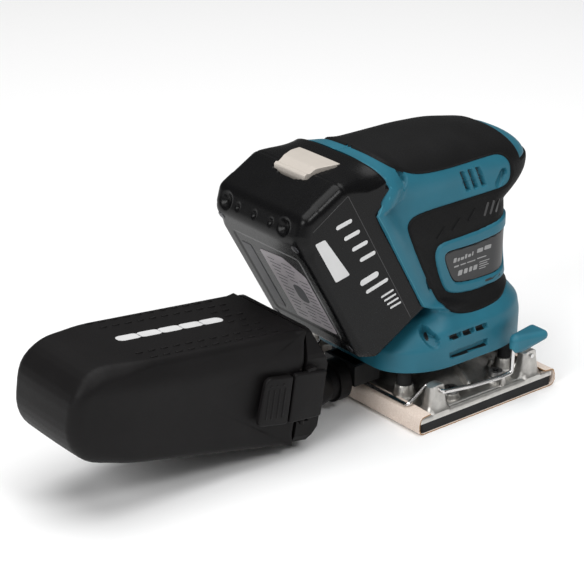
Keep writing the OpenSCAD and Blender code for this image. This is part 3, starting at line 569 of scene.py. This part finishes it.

# Faces inside the openings are painted black: painted shade for the depth of the vents, the skirt slot and
# the screw bore
skirt_slot = inside(S, Z, [(-20.5, 36.6), (6.5, 37.4), (6.5, 34.0), (-18.5, 33.4), (-20.5, 34.6)])
screw_bore = inside(S, Z, rounded([(-37, 50.3), (-35, 46), (-32, 47), (-32.5, 52.5), (-34.5, 53.3)], 1))
openings = np.maximum(openings, np.maximum(skirt_slot, screw_bore))
hole_shade = np.concatenate([np.full((len(rim), COLS), -9.0), openings])
hole_shade = np.minimum(np.minimum(hole_shade[:-1, :-1], hole_shade[1:, :-1]), np.minimum(hole_shade[:-1, 1:], hole_shade[1:, 1:])) > 0.05
shell_faces = grid_faces(*shell.shape[:2], flip=True)
mirror = np.array([1, -1, 1])

for side, sign in (("right", 1), ("left", -1)):
    half = add_mesh(f"housing_shell_{side}", shell.reshape(-1, 3) * [1, sign, 1], shell_faces[:, ::sign],
                    "teal", "housing", [f"housing_{side}"], sharp=60)
    # The second material is painted shade: black on the faces inside the openings
    half.data.materials.append(MATERIALS["black"])
    half.data.polygons.foreach_set("material_index", hole_shade.reshape(-1).astype(np.int32))


def overlay(name, distance, height, material, nodes, edge=0.9, sink=0.6, fuse=False):
    """A skin that lies on the housing where distance is positive, with a rounded edge that dips into it.

    It is one piece over both sides if fused, and otherwise one piece on each side."""
    lift = height * np.sqrt(np.clip(1 - (1 - np.clip(distance / edge, 0, 1)) ** 2, 0, 1))
    lift = np.where(distance < 0, np.maximum(distance, -1) * sink, lift)
    points = skin + normals * lift[:, :, None]
    if fuse:
        points[-1, :, 1] = 0
        points[:, -1, 1] = 0
    cell = distance > -1.0
    keep = cell[:-1, :-1] & cell[1:, :-1] & cell[:-1, 1:] & cell[1:, 1:]
    verts, quads = packed(points, grid_faces(ROWS, COLS, keep, flip=True))
    if fuse:
        both = np.concatenate([verts, verts * mirror])
        faces = np.concatenate([quads, quads[:, ::-1] + len(verts)])
        add_mesh(name, both, faces, material, "housing", nodes, sharp=60, weld=True)
        return
    for side, sign in (("right", 1), ("left", -1)):
        own = [n for n in nodes if n.endswith(side)]
        add_mesh(f"{name}_{side}", verts * [1, sign, 1], quads[:, ::sign], material, "housing", own,
                 sharp=60, weld=True)


overlay("soft_grip", soft, 0.95, "rubber",
        ["grip_cover_right", "grip_cover_left", "side_panel_right", "side_panel_left"], fuse=True)
overlay("nameplate_rim", np.minimum(ring_out, -ring_in), 2.3, "teal",
        ["nameplate_frame_right", "nameplate_frame_left"], edge=1.4, sink=0.0)
overlay("nameplate_film", ring_in, 1.35, "plate", ["nameplate_right", "nameplate_left"],
        edge=0.3, sink=0.0)

# ------------------------------------------------------------------ solids from outlines


def resample(points, step):
    """A closed outline with points about a step apart."""
    points = np.asarray(points, float)
    closed = np.vstack([points, points[:1]])
    length = np.concatenate([[0], np.cumsum(np.hypot(*np.diff(closed, axis=0).T))])
    at = np.linspace(0, length[-1], max(8, int(length[-1] / step)), endpoint=False)
    return np.stack([np.interp(at, length, closed[:, k]) for k in (0, 1)], 1)


def filleted(points, radii, step=0.8):
    """A closed outline whose corners are arcs of the given radii, with points about a step apart."""
    points = np.asarray(points, float)
    out = []
    for k, r in enumerate(np.broadcast_to(radii, len(points))):
        a, b, c = points[k - 1], points[k], points[(k + 1) % len(points)]
        u, v = (a - b) / np.linalg.norm(a - b), (c - b) / np.linalg.norm(c - b)
        half = math.acos(np.clip(u @ v, -1, 1)) / 2
        centre = b + (u + v) / np.linalg.norm(u + v) * r / math.sin(half)
        start, end = b + u * r / math.tan(half) - centre, b + v * r / math.tan(half) - centre
        turn = math.atan2(start[0] * end[1] - start[1] * end[0], start @ end)
        base = math.atan2(start[1], start[0])
        for s in np.linspace(0, 1, 9):
            out.append(centre + r * np.array([math.cos(base + turn * s), math.sin(base + turn * s)]))
    return resample(out, step)


def outward(outline):
    """Unit normals of a closed counter-clockwise outline."""
    d = np.roll(outline, -1, 0) - np.roll(outline, 1, 0)
    n = np.stack([d[:, 1], -d[:, 0]], 1)
    return n / np.linalg.norm(n, axis=1, keepdims=True)


def fitted(outline, wanted, corners):
    """Edge radii along an outline, held below each corner's radius (x, z, r), so that no inset folds."""
    wanted = np.asarray(wanted, float) * np.ones(len(outline))
    for x, z, r in corners:
        far = np.hypot(outline[:, 0] - x, outline[:, 1] - z)
        wanted = np.minimum(wanted, 0.8 * r + 0.55 * np.maximum(far - 1.3 * r, 0))
    return wanted


def turned_right(outline):
    """The outline, in counter-clockwise order."""
    outline = np.asarray(outline, float)
    after = np.roll(outline, -1, 0)
    area = (outline[:, 0] * after[:, 1] - after[:, 0] * outline[:, 1]).sum()
    return outline if area > 0 else outline[::-1]


def cushions(name, place, outlines, low, high, r, material, body, nodes=(), steps=4, sharp=40):
    """Solids on a surface: each outline (a, b) rises from low to high with its upper edge rounded by r."""
    verts, faces = [], []
    for outline in outlines:
        outline = turned_right(outline)
        normal = outward(outline)
        first, n = len(verts), len(outline)
        rings = [(0, low)] + [(r * (1 - math.cos(a)), high - r + r * math.sin(a))
                              for a in np.linspace(0, math.pi / 2, steps)]
        for inset, h in rings:
            ring = outline - normal * inset
            verts += [(a, b, h) for a, b in ring]
        for k in range(len(rings) - 1):
            for i in range(n):
                j = (i + 1) % n
                a = first + k * n
                faces.append((a + i, a + j, a + n + j, a + n + i))
        faces.append(tuple(first + (len(rings) - 1) * n + i for i in range(n)))
        faces.append(tuple(first + i for i in reversed(range(n))))
    return add_mesh(name, place(np.array(verts)), faces, material, body, nodes, sharp=sharp)


def pill(a, b, r, n=7):
    """Outline of a round-ended bar."""
    a, b = np.asarray(a, float), np.asarray(b, float)
    base = math.atan2(*(b - a)[::-1])
    turn = np.linspace(-math.pi / 2, math.pi / 2, n)
    end = np.stack([np.cos(base + turn), np.sin(base + turn)], 1) * r
    return np.concatenate([b + end, a - end])


def slab(profile, half_of, edge, detail, place, name, material, body, nodes, after, rings=0,
         step=0.9):
    """A block between two sides: a profile in its (x, z) plane, swept across y, with its long edges rounded.

    half_of gives the half width at an x, and edge the edges' radius at each profile point. detail moves the
    swept face along its normal, for a y. after reshapes the whole grid of points. Each side is one flat
    face, or a number of rings of points that after can bend."""
    half = half_of(profile[:, 0])
    normal = outward(profile)
    flat = np.linspace(-1, 1, int(2 * half.max() / step))
    bend = np.linspace(0, math.pi / 2, 9)[1:]
    centre = profile.mean(0)
    columns = []

    def ring(inset, y, move=0.0):
        p = profile - normal * np.reshape(inset - move, (-1, 1))
        return np.stack([p[:, 0], np.broadcast_to(y, len(p)), p[:, 1]], 1)

    for f in flat:
        y = f * (half - edge)
        columns.append(ring(np.zeros(len(profile)), y, detail(y, profile)))
    for sign in (1, -1):
        last = detail(sign * (half - edge), profile)
        side = [ring(edge * (1 - math.cos(a)), sign * (half - edge + edge * math.sin(a)), last) for a in bend]
        rim = side[-1]
        if not rings:
            side.append(ring(edge + 0.3, sign * half, last))
        for s in np.linspace(1, 0, rings)[1:]:
            p = rim.copy()
            p[:, 0] = centre[0] + (rim[:, 0] - centre[0]) * s
            p[:, 2] = centre[1] + (rim[:, 2] - centre[1]) * s
            p[:, 1] = sign * half_of(p[:, 0])
            side.append(p)
        columns = columns + side if sign > 0 else side[::-1] + columns
    grid = after(np.array(columns))
    faces = grid_faces(*grid.shape[:2], wrap=True).tolist()
    if not rings:
        count = len(profile)
        faces += [list(range(count)), [len(faces) + k for k in reversed(range(count))]]
    return add_mesh(name, place(grid.reshape(-1, 3)), faces, material, body, nodes, sharp=50,
                    weld=rings > 0, close=not rings)


def on_housing(p, sign):
    """(s, z, height) on the housing's side: s is X on the flank and goes on round the nose."""
    out = []
    for s, z, h in p:
        row = np.interp(z, Z[:plain_rows, 0], np.arange(plain_rows))
        lo = int(min(row, plain_rows - 2))
        at = [np.array([np.interp(s, S[k], source[k, :, i]) for source in (skin, normals) for i in range(3)])
              for k in (lo, lo + 1)]
        here = at[0] * (1 - row + lo) + at[1] * (row - lo)
        out.append((here[:3] + here[3:] * h) * [1, sign, 1])
    return np.array(out)


# The nameplate's print is rows of plain bars (s, z, width, height)
plain_rows = int((Z[:, 0] <= SHOULDER_Z).sum())
PRINT = [filleted([(s, z), (s + w, z), (s + w + 0.2 * h, z + h), (s + 0.2 * h, z + h)], 0.25, 0.5)
         for s, z, w, h in (
             (-11.5, 85.2, 2.2, 2.6), (-8.4, 85.3, 1.6, 1.9), (-6.1, 85.5, 2.4, 1.6), (-3.0, 85.6, 1.5, 2.5),
             (-0.6, 85.8, 2.0, 1.7), (2.2, 86.0, 1.0, 2.4), (6.0, 86.6, 4.4, 2.3), (11.5, 87.0, 5.0, 2.3),
             (-10.8, 82.2, 3.6, 0.9), (-6.2, 82.4, 4.2, 0.7), (-1.2, 82.5, 6.4, 0.6), (6.2, 82.9, 7.2, 0.6),
             (-7.8, 76.6, 3.0, 3.0), (-3.4, 76.8, 2.6, 2.8), (0.4, 76.9, 2.2, 2.8), (3.6, 77.0, 2.8, 2.8),
             (8.0, 80.4, 8.0, 0.45), (8.0, 79.1, 6.4, 0.45), (8.0, 77.8, 7.4, 0.45), (8.0, 76.5, 5.2, 0.45))]
PANEL_RIBS = [pill(a, b, 0.4, 5) for a, b in (
    ((-23.5, 102.6), (-18.0, 107.6)), ((-12.5, 104.6), (-6.5, 109.8)), ((-0.5, 107.2), (5, 112.6)))]
# The vents under the nose are dark glossy inlays flush with the grip: painted shade in place of the vent
# openings
PANEL_VENTS = [pill((11.5 + 4.4 * k, 107.6), (14.5 + 4.4 * k, 113.4), 0.85, 6) for k in range(3)]
# The slot in the nameplate rim is a black inlay flush with the rim: painted shade in place of the opening
RIM_SLOT = [filleted([(12, 68.0), (24, 68.6), (24, 70.0), (12, 69.4)], 0.3)]
for side, sign in (("right", 1), ("left", -1)):
    here = lambda p, k=sign: on_housing(p, k)
    cushions(f"nameplate_print_{side}", here, [o[::sign] for o in PRINT], 1.2, 1.42, 0.03, "ink_pale",
             "housing", steps=2)
    cushions(f"panel_ribs_{side}", here, PANEL_RIBS, 0.5, 1.5, 0.35, "rubber", "housing")
    # Painted shade: dark inlays drawn where the vent openings are
    cushions(f"panel_vent_shade_{side}", here, PANEL_VENTS, 0.6, 1.02, 0.06, "battery_gloss", "housing",
             steps=2)
    # Painted shade: a black inlay drawn where the rim's slot is
    cushions(f"rim_slot_shade_{side}", here, RIM_SLOT, 1.9, 2.34, 0.03, "black", "housing", steps=2)

# ------------------------------------------------------------------ battery

DEPTH, LENGTH, HALF = 53.0, 104.0, 37.5


def pitched(origin, angle):
    """Places points (x, y, z) of a part's own frame, whose x axis rises by an angle."""
    forward = np.array([math.cos(angle), 0, math.sin(angle)])
    up = np.array([-math.sin(angle), 0, math.cos(angle)])
    return lambda p: np.array(origin) + p[:, :1] * forward + p[:, 1:2] * [0, 1, 0] + p[:, 2:] * up


# The battery's frame: x forward from the mating plane, and z up along it
in_battery = pitched((MATE_X, 0, MATE_Z), TILT)


def on_side(p):
    """(x, z, height) on the battery's right side."""
    return in_battery(np.stack([p[:, 0], -HALF - p[:, 2], p[:, 1]], 1))


def on_back(p):
    """(y, z, height) on the battery's back face."""
    return in_battery(np.stack([-DEPTH - p[:, 2], p[:, 0], p[:, 1]], 1))


# Corners (x, z, radius) of the side view, from the foot up the mating plane and over the shoulder
BATT_CORNERS = [(-0.4, 0.6, 1.5), (-0.4, 77.0, 1.0), (8, 83.4, 1.5), (8, 95.5, 1.2), (-17, 104, 8),
                (-43.5, 104, 7), (-DEPTH, 94.5, 8), (-DEPTH, 9, 6), (-44, 0.6, 5)]
batt_outline = turned_right(filleted([c[:2] for c in BATT_CORNERS], [c[2] for c in BATT_CORNERS]))
BUTTON = rounded([(-22, -13), (-14, -13.6), (-9, -15.4), (-2, -17), (-2, 17), (-9, 15.4), (-14, 13.6),
                  (-22, 13)], 1)


def shouldered(grid):
    """The end falls away to the two sides next to the tool."""
    x, y, z = np.moveaxis(grid, 2, 0)
    fall = 28.5 * (1 - (1 - (y / COLLAR_HALF) ** 4) ** 0.25)
    return np.stack([x, y, z - fall * smooth((x + 17) / 24) * np.clip((z - 78) / 17, 0, 1.2)], 2)


def battery_detail(y, p):
    """The button's recess, the hollows on the bevel, the parting groove and the label's recess."""
    x, z = p[:, 0], p[:, 1]
    out = np.zeros(len(x))
    top = (z > 80) & (x < -0.5)
    out += np.where(top, sunk(inside(x, y, BUTTON) + 0.5, 6.0, 0.6), 0)
    # Finger hollows and small dimples on the bevel between the end and the back
    along = (x + 48.2 + z - 99.2) * 0.707
    for cy in (26, -22.5):
        bowl = 1 - np.hypot((y - cy) / 5.4, (along + 0.5) / 6.0)
        out += np.where(top & (x < -30), -2.6 * smooth(bowl * 1.2), 0)
    for cy in (15.9, 1.9, -11.8):
        bowl = 1 - np.hypot((y - cy) / 1.8, (along + 1.0) / 2.6)
        out += np.where(top & (x < -30), -1.4 * smooth(bowl * 1.6), 0)
    groove = np.where((z > 60) | (z < 5), -0.35 * np.exp(-((x + 15.5) / 0.4) ** 2), 0)
    label = np.where(x < -50, -0.35 * smooth(box(y, z, 0, 50, 28, 31, 3) / 0.5), 0)
    return out + groove + label


edge_radius = fitted(
    batt_outline, 3 + 3.2 * smooth((batt_outline[:, 1] - 80) / 8) + smooth((-49 - batt_outline[:, 0]) / 4),
    BATT_CORNERS[:1] + BATT_CORNERS[2:])
under_shoulder = (batt_outline[:, 0] > -2) & (batt_outline[:, 1] > 70) & (batt_outline[:, 1] < 84)
edge_radius[under_shoulder] = 1.0
slab(batt_outline, lambda x: np.full_like(x, HALF), edge_radius, battery_detail, in_battery, "battery_body",
     "battery", "battery", ["battery_case", "battery_cover"], after=shouldered)

# Rails: a narrow web and a wider flange in front of it (x at the back, half width)
for k, (back, w) in enumerate(((5.2, 27.8), (-1, 21.8))):
    upright = lambda p: in_battery(np.stack([p[:, 0], -p[:, 2], p[:, 1]], 1))
    outline = filleted([(back, 48), (7.7, 48), (7.7, 85), (back, 85)], 0.6, 1.0)
    cushions(f"battery_rail_{k}", upright, [outline], -w, w, 0.5, "battery", "battery")

# Cream release button: a wedge with a raised lip towards the back, wider next to the tool
paddle = turned_right(filleted(
    [(-22, 101), (-21.6, 103.0), (-20.4, 105.6), (-18.6, 105.9), (-17.4, 104.6), (-12.5, 104.6),
     (-6.5, 102.0), (-0.6, 98.8), (-0.6, 96.8), (-12, 100.6)],
    [0.3, 1.5, 0.8, 0.7, 1.2, 3, 2, 0.8, 0.4, 2], 0.5))
slab(paddle, lambda x: softened(x, [(-22, 12.6), (-14, 13.2), (-10, 14.6), (-6, 16.2), (-2, 16.6)], 1),
     np.full(len(paddle), 0.25), lambda y, p: 0 * p[:, 0], in_battery, "release_paddle", "cream", "release",
     ["release_button"], step=1.0, rings=12, after=shouldered)
parting = [pill((-15.5, 4.5), (-15.5, 96.6), 0.22, 4), pill((-15.5, 96.6), (-42.6, 95.4), 0.25, 4)]
cushions("battery_side_seam", on_side, parting, -0.2, 0.07, 0.05, "battery_gloss", "battery",
         steps=2)

# Label, with plain bars and lines for its print
pale = filleted([(8, 22), (9, 74), (-11, 75.5), (-25, 66), (-25.5, 22)], 1.5, 1.2)
grey = filleted([(17, 24), (25.5, 24), (25.5, 73), (17, 73)], 1, 1.2)
cushions("battery_label_pale", on_back, [pale], -0.5, -0.12, 0.05, "label", "battery",
         ["battery_label"], steps=2)
cushions("battery_label_grey", on_back, [grey], -0.5, -0.14, 0.05, "ink_grey", "battery",
         steps=2)
lines = []
for k in range(15):
    z = 26 + 3.1 * k
    ends = ((4.5, -2.5 - 2.2 * math.sin(k * 2.1)), (-7, -14 + 2.0 * math.sin(k * 1.3)), (-16.5, -23))
    for start, end in ends:
        if not (40 < z < 56 and start == -7) and (z < 62 or start > -10):
            lines.append(pill((start, z), (end, z), 0.32, 4))
lines.append(filleted([(-6, 41), (-15, 41), (-15, 54), (-6, 54)], 3.5, 1))
cushions("battery_label_lines", on_back, lines, -0.2, -0.06, 0.02, "ink_grey", "battery",
         steps=2)
bar = filleted([(-44.8, 88.6), (-38.6, 86.3), (-35.4, 57.2), (-44.6, 60.1)], 0.5, 1)
cushions("battery_side_bar", on_side, [bar], -0.2, 0.06, 0.03, "ink", "battery", steps=2)
marks = [pill((-29 + 1.2 * k, 86 - 9 * k), (-21 + 1.2 * k, 83.5 - 9 * k), 1.2) for k in range(4)]
marks += [pill((-31, 47), (-22, 44.5), 1.8), pill((-31, 40), (-18, 36.5), 1.1)]
marks += [pill((-25 + k * 0.6, 30 - 3.4 * k), (-17.5 + k * 0.2, 28 - 3.4 * k), 0.6) for k in range(4)]
cushions("battery_side_marks", on_side, marks, -0.2, 0.06, 0.03, "ink", "battery", steps=2)
heads = [filleted([(y - 2.4, z - 2.4), (y + 2.4, z - 2.4), (y + 2.4, z + 2.4), (y - 2.4, z + 2.4)], 2.3, 0.5)
         for y in (-31, 31) for z in (14, LENGTH - 14)]
cushions("battery_case_screws", on_back, heads, -0.3, 0.25, 0.3, "fastener", "battery",
         ["battery_screws"])

# ------------------------------------------------------------------ dust box

MOUTH_DEPTH, BOX_HALF = 108, 34.4
# The dust box's frame: x along it from its mouth towards the tool
in_box = pitched((-115, 0, 39.2), -math.radians(9.35))


def box_half_height(x):
    return 32.5 + 0.0525 * x


def box_taper(x, z):
    """The box's width narrows above its shoulder and a little towards its foot and its far end."""
    h = box_half_height(x)
    share = [(-1.2, 0.93), (-0.85, 0.95), (0.1, 0.98), (0.5, 1.0), (0.62, 0.985), (1.0, 0.90)]
    across = softened(z / h, share, 0.12)
    return across * (1 + x / 2400) * (1 - 0.14 * smooth((-100 - x) / 50))


BOX_CORNERS = [(-0.2, -32.5, 0.6), (-0.2, 32.5, 0.6), (-108, 26.8, 30), (-139, 24, 22), (-139, -24, 22),
               (-108, -26.8, 30)]
box_outline = turned_right(filleted([c[:2] for c in BOX_CORNERS], [c[2] for c in BOX_CORNERS], 0.9))


def box_detail(y, p):
    """The far end is a little crowned."""
    return 0.6 * smooth((-118 - p[:, 0]) / 20) * (1 - (y / BOX_HALF) ** 2)


def shape_box(grid):
    """The sides bend in, and the face towards the tool is pushed in to leave the box hollow."""
    x, y, z = np.moveaxis(grid, 2, 0)
    mouth = np.where((x > -0.35) & (np.abs(y) < 31.5) & (np.abs(z) < 30.3), 1.0, 0.0)
    across = y * box_taper(x, z) * (1 - 0.10 * mouth)
    return np.stack([x - MOUTH_DEPTH * mouth, across, z * (1 - 0.2 * mouth)], 2)


box_radius = fitted(box_outline, 3.5 + 3.5 * smooth((-95 - box_outline[:, 0]) / 25), BOX_CORNERS[:2])
slab(box_outline, lambda x: np.full_like(x, BOX_HALF), box_radius, box_detail, in_box, "dust_shell",
     "dust_box", "box_shell", ["dust_box_shell"], after=shape_box, rings=56)

# Studs in eight rows on the lid, with a clear strip for a mark of plain dashes
bumps = []
for row in range(8):
    y = -26 + 52 * row / 7
    for k in range(11):
        x = -16 - 7.6 * k - (3.8 if row % 2 else 0)
        if not (abs(y) < 12 and x < -28):
            bumps.append(pill((x, y), (x - 2.8, y), 0.75, 4))
on_lid = lambda p: in_box(np.stack([p[:, 0], p[:, 1], box_half_height(p[:, 0]) + p[:, 2]], 1))
cushions("dust_shell_studs", on_lid, bumps, -0.3, 0.45, 0.4, "dust_box", "box_shell")
mark = [pill((-34 - 13 * k, 1.5), (-42 - 13 * k, 1.5), 3.2) for k in range(5)]
cushions("dust_shell_mark", on_lid, mark, -0.2, 0.1, 0.04, "ink", "box_shell", steps=2)

# Latches: a ribbed tab and a plain block on each side
for side, sign in (("right", -1), ("left", 1)):
    on_flank = lambda p, s=sign: in_box(np.stack([p[:, 0], s * (34.2 + p[:, 2]), p[:, 1]], 1))
    tab = filleted([(-31, -15), (-11, -16), (-11, 11), (-29, 11.5)], [3, 2, 2, 4])
    block = filleted([(-9.8, -16), (11.5, -14.5), (11.5, 11.5), (-9.8, 11.5)], 1.2)
    cushions(f"latch_{side}_tab", on_flank, [tab, block], 1.8, 4.4, 1.1, "dust_box", f"{side}_latch",
             [f"latch_{side}"], steps=5)
    ribs_out = [pill((-26.5 + 3.6 * k, -11), (-26.5 + 3.6 * k, 4.5), 0.55, 5) for k in range(4)]
    ribs_out += [pill((-25.5 + 4 * k, 7), (-25.3 + 4 * k, 7), 0.7, 5) for k in range(3)]
    cushions(f"latch_{side}_ribs", on_flank, ribs_out, 4.0, 4.75, 0.4, "dust_box", f"{side}_latch")

# ------------------------------------------------------------------ pad

DECK, PLATE_Z, HUB_Z, PIVOT_X, PIVOT_Z = 8.5, 6.2, 25.0, 35.0, 21.8
PLATE_X, PLATE_Y = 49.75, 55.5


def away(x, y, cx, cy, hx, hy, r):
    """Distance outside a round-cornered box."""
    return np.maximum(-box(x, y, cx, cy, hx, hy, r), 0)


def border_walls(n_rows, n_cols):
    """Faces that join the border of a grid of points to the border of a second grid behind it."""
    at = np.arange(n_rows * n_cols).reshape(n_rows, n_cols)
    border = np.concatenate([at[:-1, 0], at[-1, :-1], at[:0:-1, -1], at[0, :0:-1]])
    ahead = np.roll(border, -1)
    return border, np.stack([border, ahead, ahead + at.size, border + at.size], 1)


cx = np.linspace(-PLATE_X, PLATE_X, 184)
cy = np.linspace(-PLATE_Y, PLATE_Y, 206)
CX, CY = np.meshgrid(cx, cy, indexing="ij")
reach = np.hypot(CX, CY)
height = np.full(CX.shape, DECK)
edge_in = np.minimum(PLATE_X - np.abs(CX), PLATE_Y - np.abs(CY))
rim_line = lookup(edge_in, [(0, 8.1), (0.5, 9.4), (1.0, 9.8), (2.0, 9.8), (2.6, 9.0), (3.4, 9.0), (3.9, 9.5),
                            (4.8, 9.5), (5.6, 8.5), (99, 8.5)])
hub = lookup(reach, [(0, HUB_Z), (19.5, HUB_Z), (20.5, 22.5), (30, 14.5), (38, 9.4), (41, 8.5)])
height = np.maximum(height, np.maximum(rim_line, hub))
for k in range(6):
    a = math.radians(30 + 60 * k)
    rib_d = -capsule(CX, CY, (17 * math.cos(a), 17 * math.sin(a)), (40 * math.cos(a), 40 * math.sin(a)), 1.0)
    height = np.maximum(height, lookup(reach, [(17, 23), (30, 18.5), (41, 11)]) - 5 * np.maximum(rib_d, 0))
for sx in (-1, 1):
    for sy in (-1, 1):
        d = away(CX, CY, sx * PIVOT_X, sy * 49.7, 5.0, 3.2, 2.2)
        height = np.maximum(height, PIVOT_Z + 2.9 - 0.05 * (CX - sx * PIVOT_X) ** 2 - 8 * d)
        height = np.maximum(height, 13 - 1.6 * away(CX, CY, sx * PIVOT_X, sy * 49.7, 6.2, 3.6, 2.2))
        brace = -capsule(CX, CY, (sx * 35, sy * 45), (sx * 26, sy * 30), 1.1)
        height = np.maximum(height, 13.5 - 5 * np.maximum(brace, 0))
        height = np.maximum(height, 11.5 - 4 * np.maximum(np.hypot(CX - sx * 17, CY - sy * 43) - 4.6, 0))
for lx, ly in ((30, 37), (30, -37), (-38, 28), (-38, -28)):
    r = np.hypot(CX - lx, CY - ly)
    height = np.maximum(height, 17.4 - 7 * np.maximum(r - 5.0, 0))
    height = np.maximum(height, 11.5 - 3 * np.maximum(r - 7.0, 0))
for s in (-1, 1):
    d = away(CX, CY, 14.5 * s, -52.0 * s, 1.2, 0.9, 0.6)
    height = np.maximum(height, 14.2 - 8 * d)
height = np.where(reach < 15.15, np.minimum(height, HUB_Z - 9.1), height)
top_side = np.stack([CX, CY, height], 2).reshape(-1, 3)
under_side = np.stack([CX, CY, np.full_like(CX, PLATE_Z)], 2).reshape(-1, 3)
border, walls = border_walls(*CX.shape)
quads = np.concatenate([grid_faces(*CX.shape, flip=True), walls])
base = [tuple(int(i) + CX.size for i in border[::-1])]
add_mesh("pad_casting", np.concatenate([top_side, under_side]), [tuple(q) for q in quads] + base, "cast",
         "pad", ["pad_plate"], sharp=32, close=True)

# Abrasive sheet: clamped flat under the sole and folded over both ends of the plate
SHEET_HALF, SHEET_THICK = 56.2, 0.62
fold = [(-43.5, 11.25), (-46, 11.0), (-48, 10.85), (-49.6, 10.6), (-50.8, 9.7), (-51.5, 8.2), (-51.75, 6.0),
        (-51.7, 3.5), (-51.2, 1.6), (-50.2, 0.45), (-48.6, 0.05)]
path = np.array(fold + [(x, 0.05) for x in np.linspace(-46, 46, 60)] + [(-x, z) for x, z in fold[::-1]])
run = np.concatenate([[0], np.cumsum(np.hypot(*np.diff(path, axis=0).T))])
at = np.linspace(0, run[-1], 230)
path = np.stack([np.interp(at, run, path[:, k]) for k in (0, 1)], 1)
d = np.gradient(path, axis=0)
inward = np.stack([-d[:, 1], d[:, 0]], 1) / np.linalg.norm(d, axis=1, keepdims=True)
ys = np.linspace(-1, 1, 180)
ripple = np.cumsum(rng.normal(0, 1, (2, len(path))), 1)
ripple = 0.28 * (ripple - np.convolve(ripple[0], np.ones(25) / 25, "same")) / 2.5
ripple = np.clip(ripple, -0.5, 0.45)
sheet_verts = []
for lift in (0.0, SHEET_THICK):
    for i, (x, z) in enumerate(path + inward * lift):
        for y in ys:
            end = ripple[0 if y < 0 else 1][i] * abs(y) ** 30
            free = smooth((1 - min(i, len(path) - 1 - i) / 16)) * 0.5 * (1 + math.sin(7 * y + i * 0.05)) * 0.5
            sheet_verts.append((x, y * SHEET_HALF + math.copysign(end, y), max(z, 0.0) + free))
quads = grid_faces(len(path), len(ys))
outer = [tuple(q) for q in quads]
inner = [tuple(q[::-1] + len(path) * len(ys)) for q in quads]
cut_edge = [tuple(q) for q in border_walls(len(path), len(ys))[1][:, [0, 3, 2, 1]]]
paper = add_mesh("sanding_sheet", sheet_verts, outer + inner + cut_edge, "paper", "pad",
                 ["abrasive_sheet"], sharp=60, close=True)
paper.data.materials.append(MATERIALS["paper_edge"])
for face in paper.data.polygons[-len(cut_edge):]:
    face.material_index = 1

# ------------------------------------------------------------------ CAD nodes that stay

for node_name, obj in frame["nodes"].items():
    ease_edges(obj, 0.25 if SLOT_MATERIAL[SLOTS[node_name]] in ("cast", "fastener", "steel", "wire") else 0.4)
    obj.data.shade_smooth()
    obj.data.set_sharp_from_angle(angle=math.radians(35))

# ------------------------------------------------------------------ end

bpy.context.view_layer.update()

floor_mat, nodes, links, bsdf = node_tree("floor")
tint = noise(nodes, links, 3)
links.new(mixed(nodes, links, tint, (0.955, 0.955, 0.955), (0.965, 0.965, 0.965)), bsdf.inputs["Base Color"])
bsdf.inputs["Roughness"].default_value = 0.85
floor_mesh = bpy.data.meshes.new("floor")
floor_mesh.from_pydata([(-8, -8, 0), (8, -8, 0), (8, 8, 0), (-8, 8, 0)], [], [(0, 1, 2, 3)])
floor_mesh.materials.append(floor_mat)
floor = bpy.data.objects.new("floor", floor_mesh)
scene.collection.objects.link(floor)
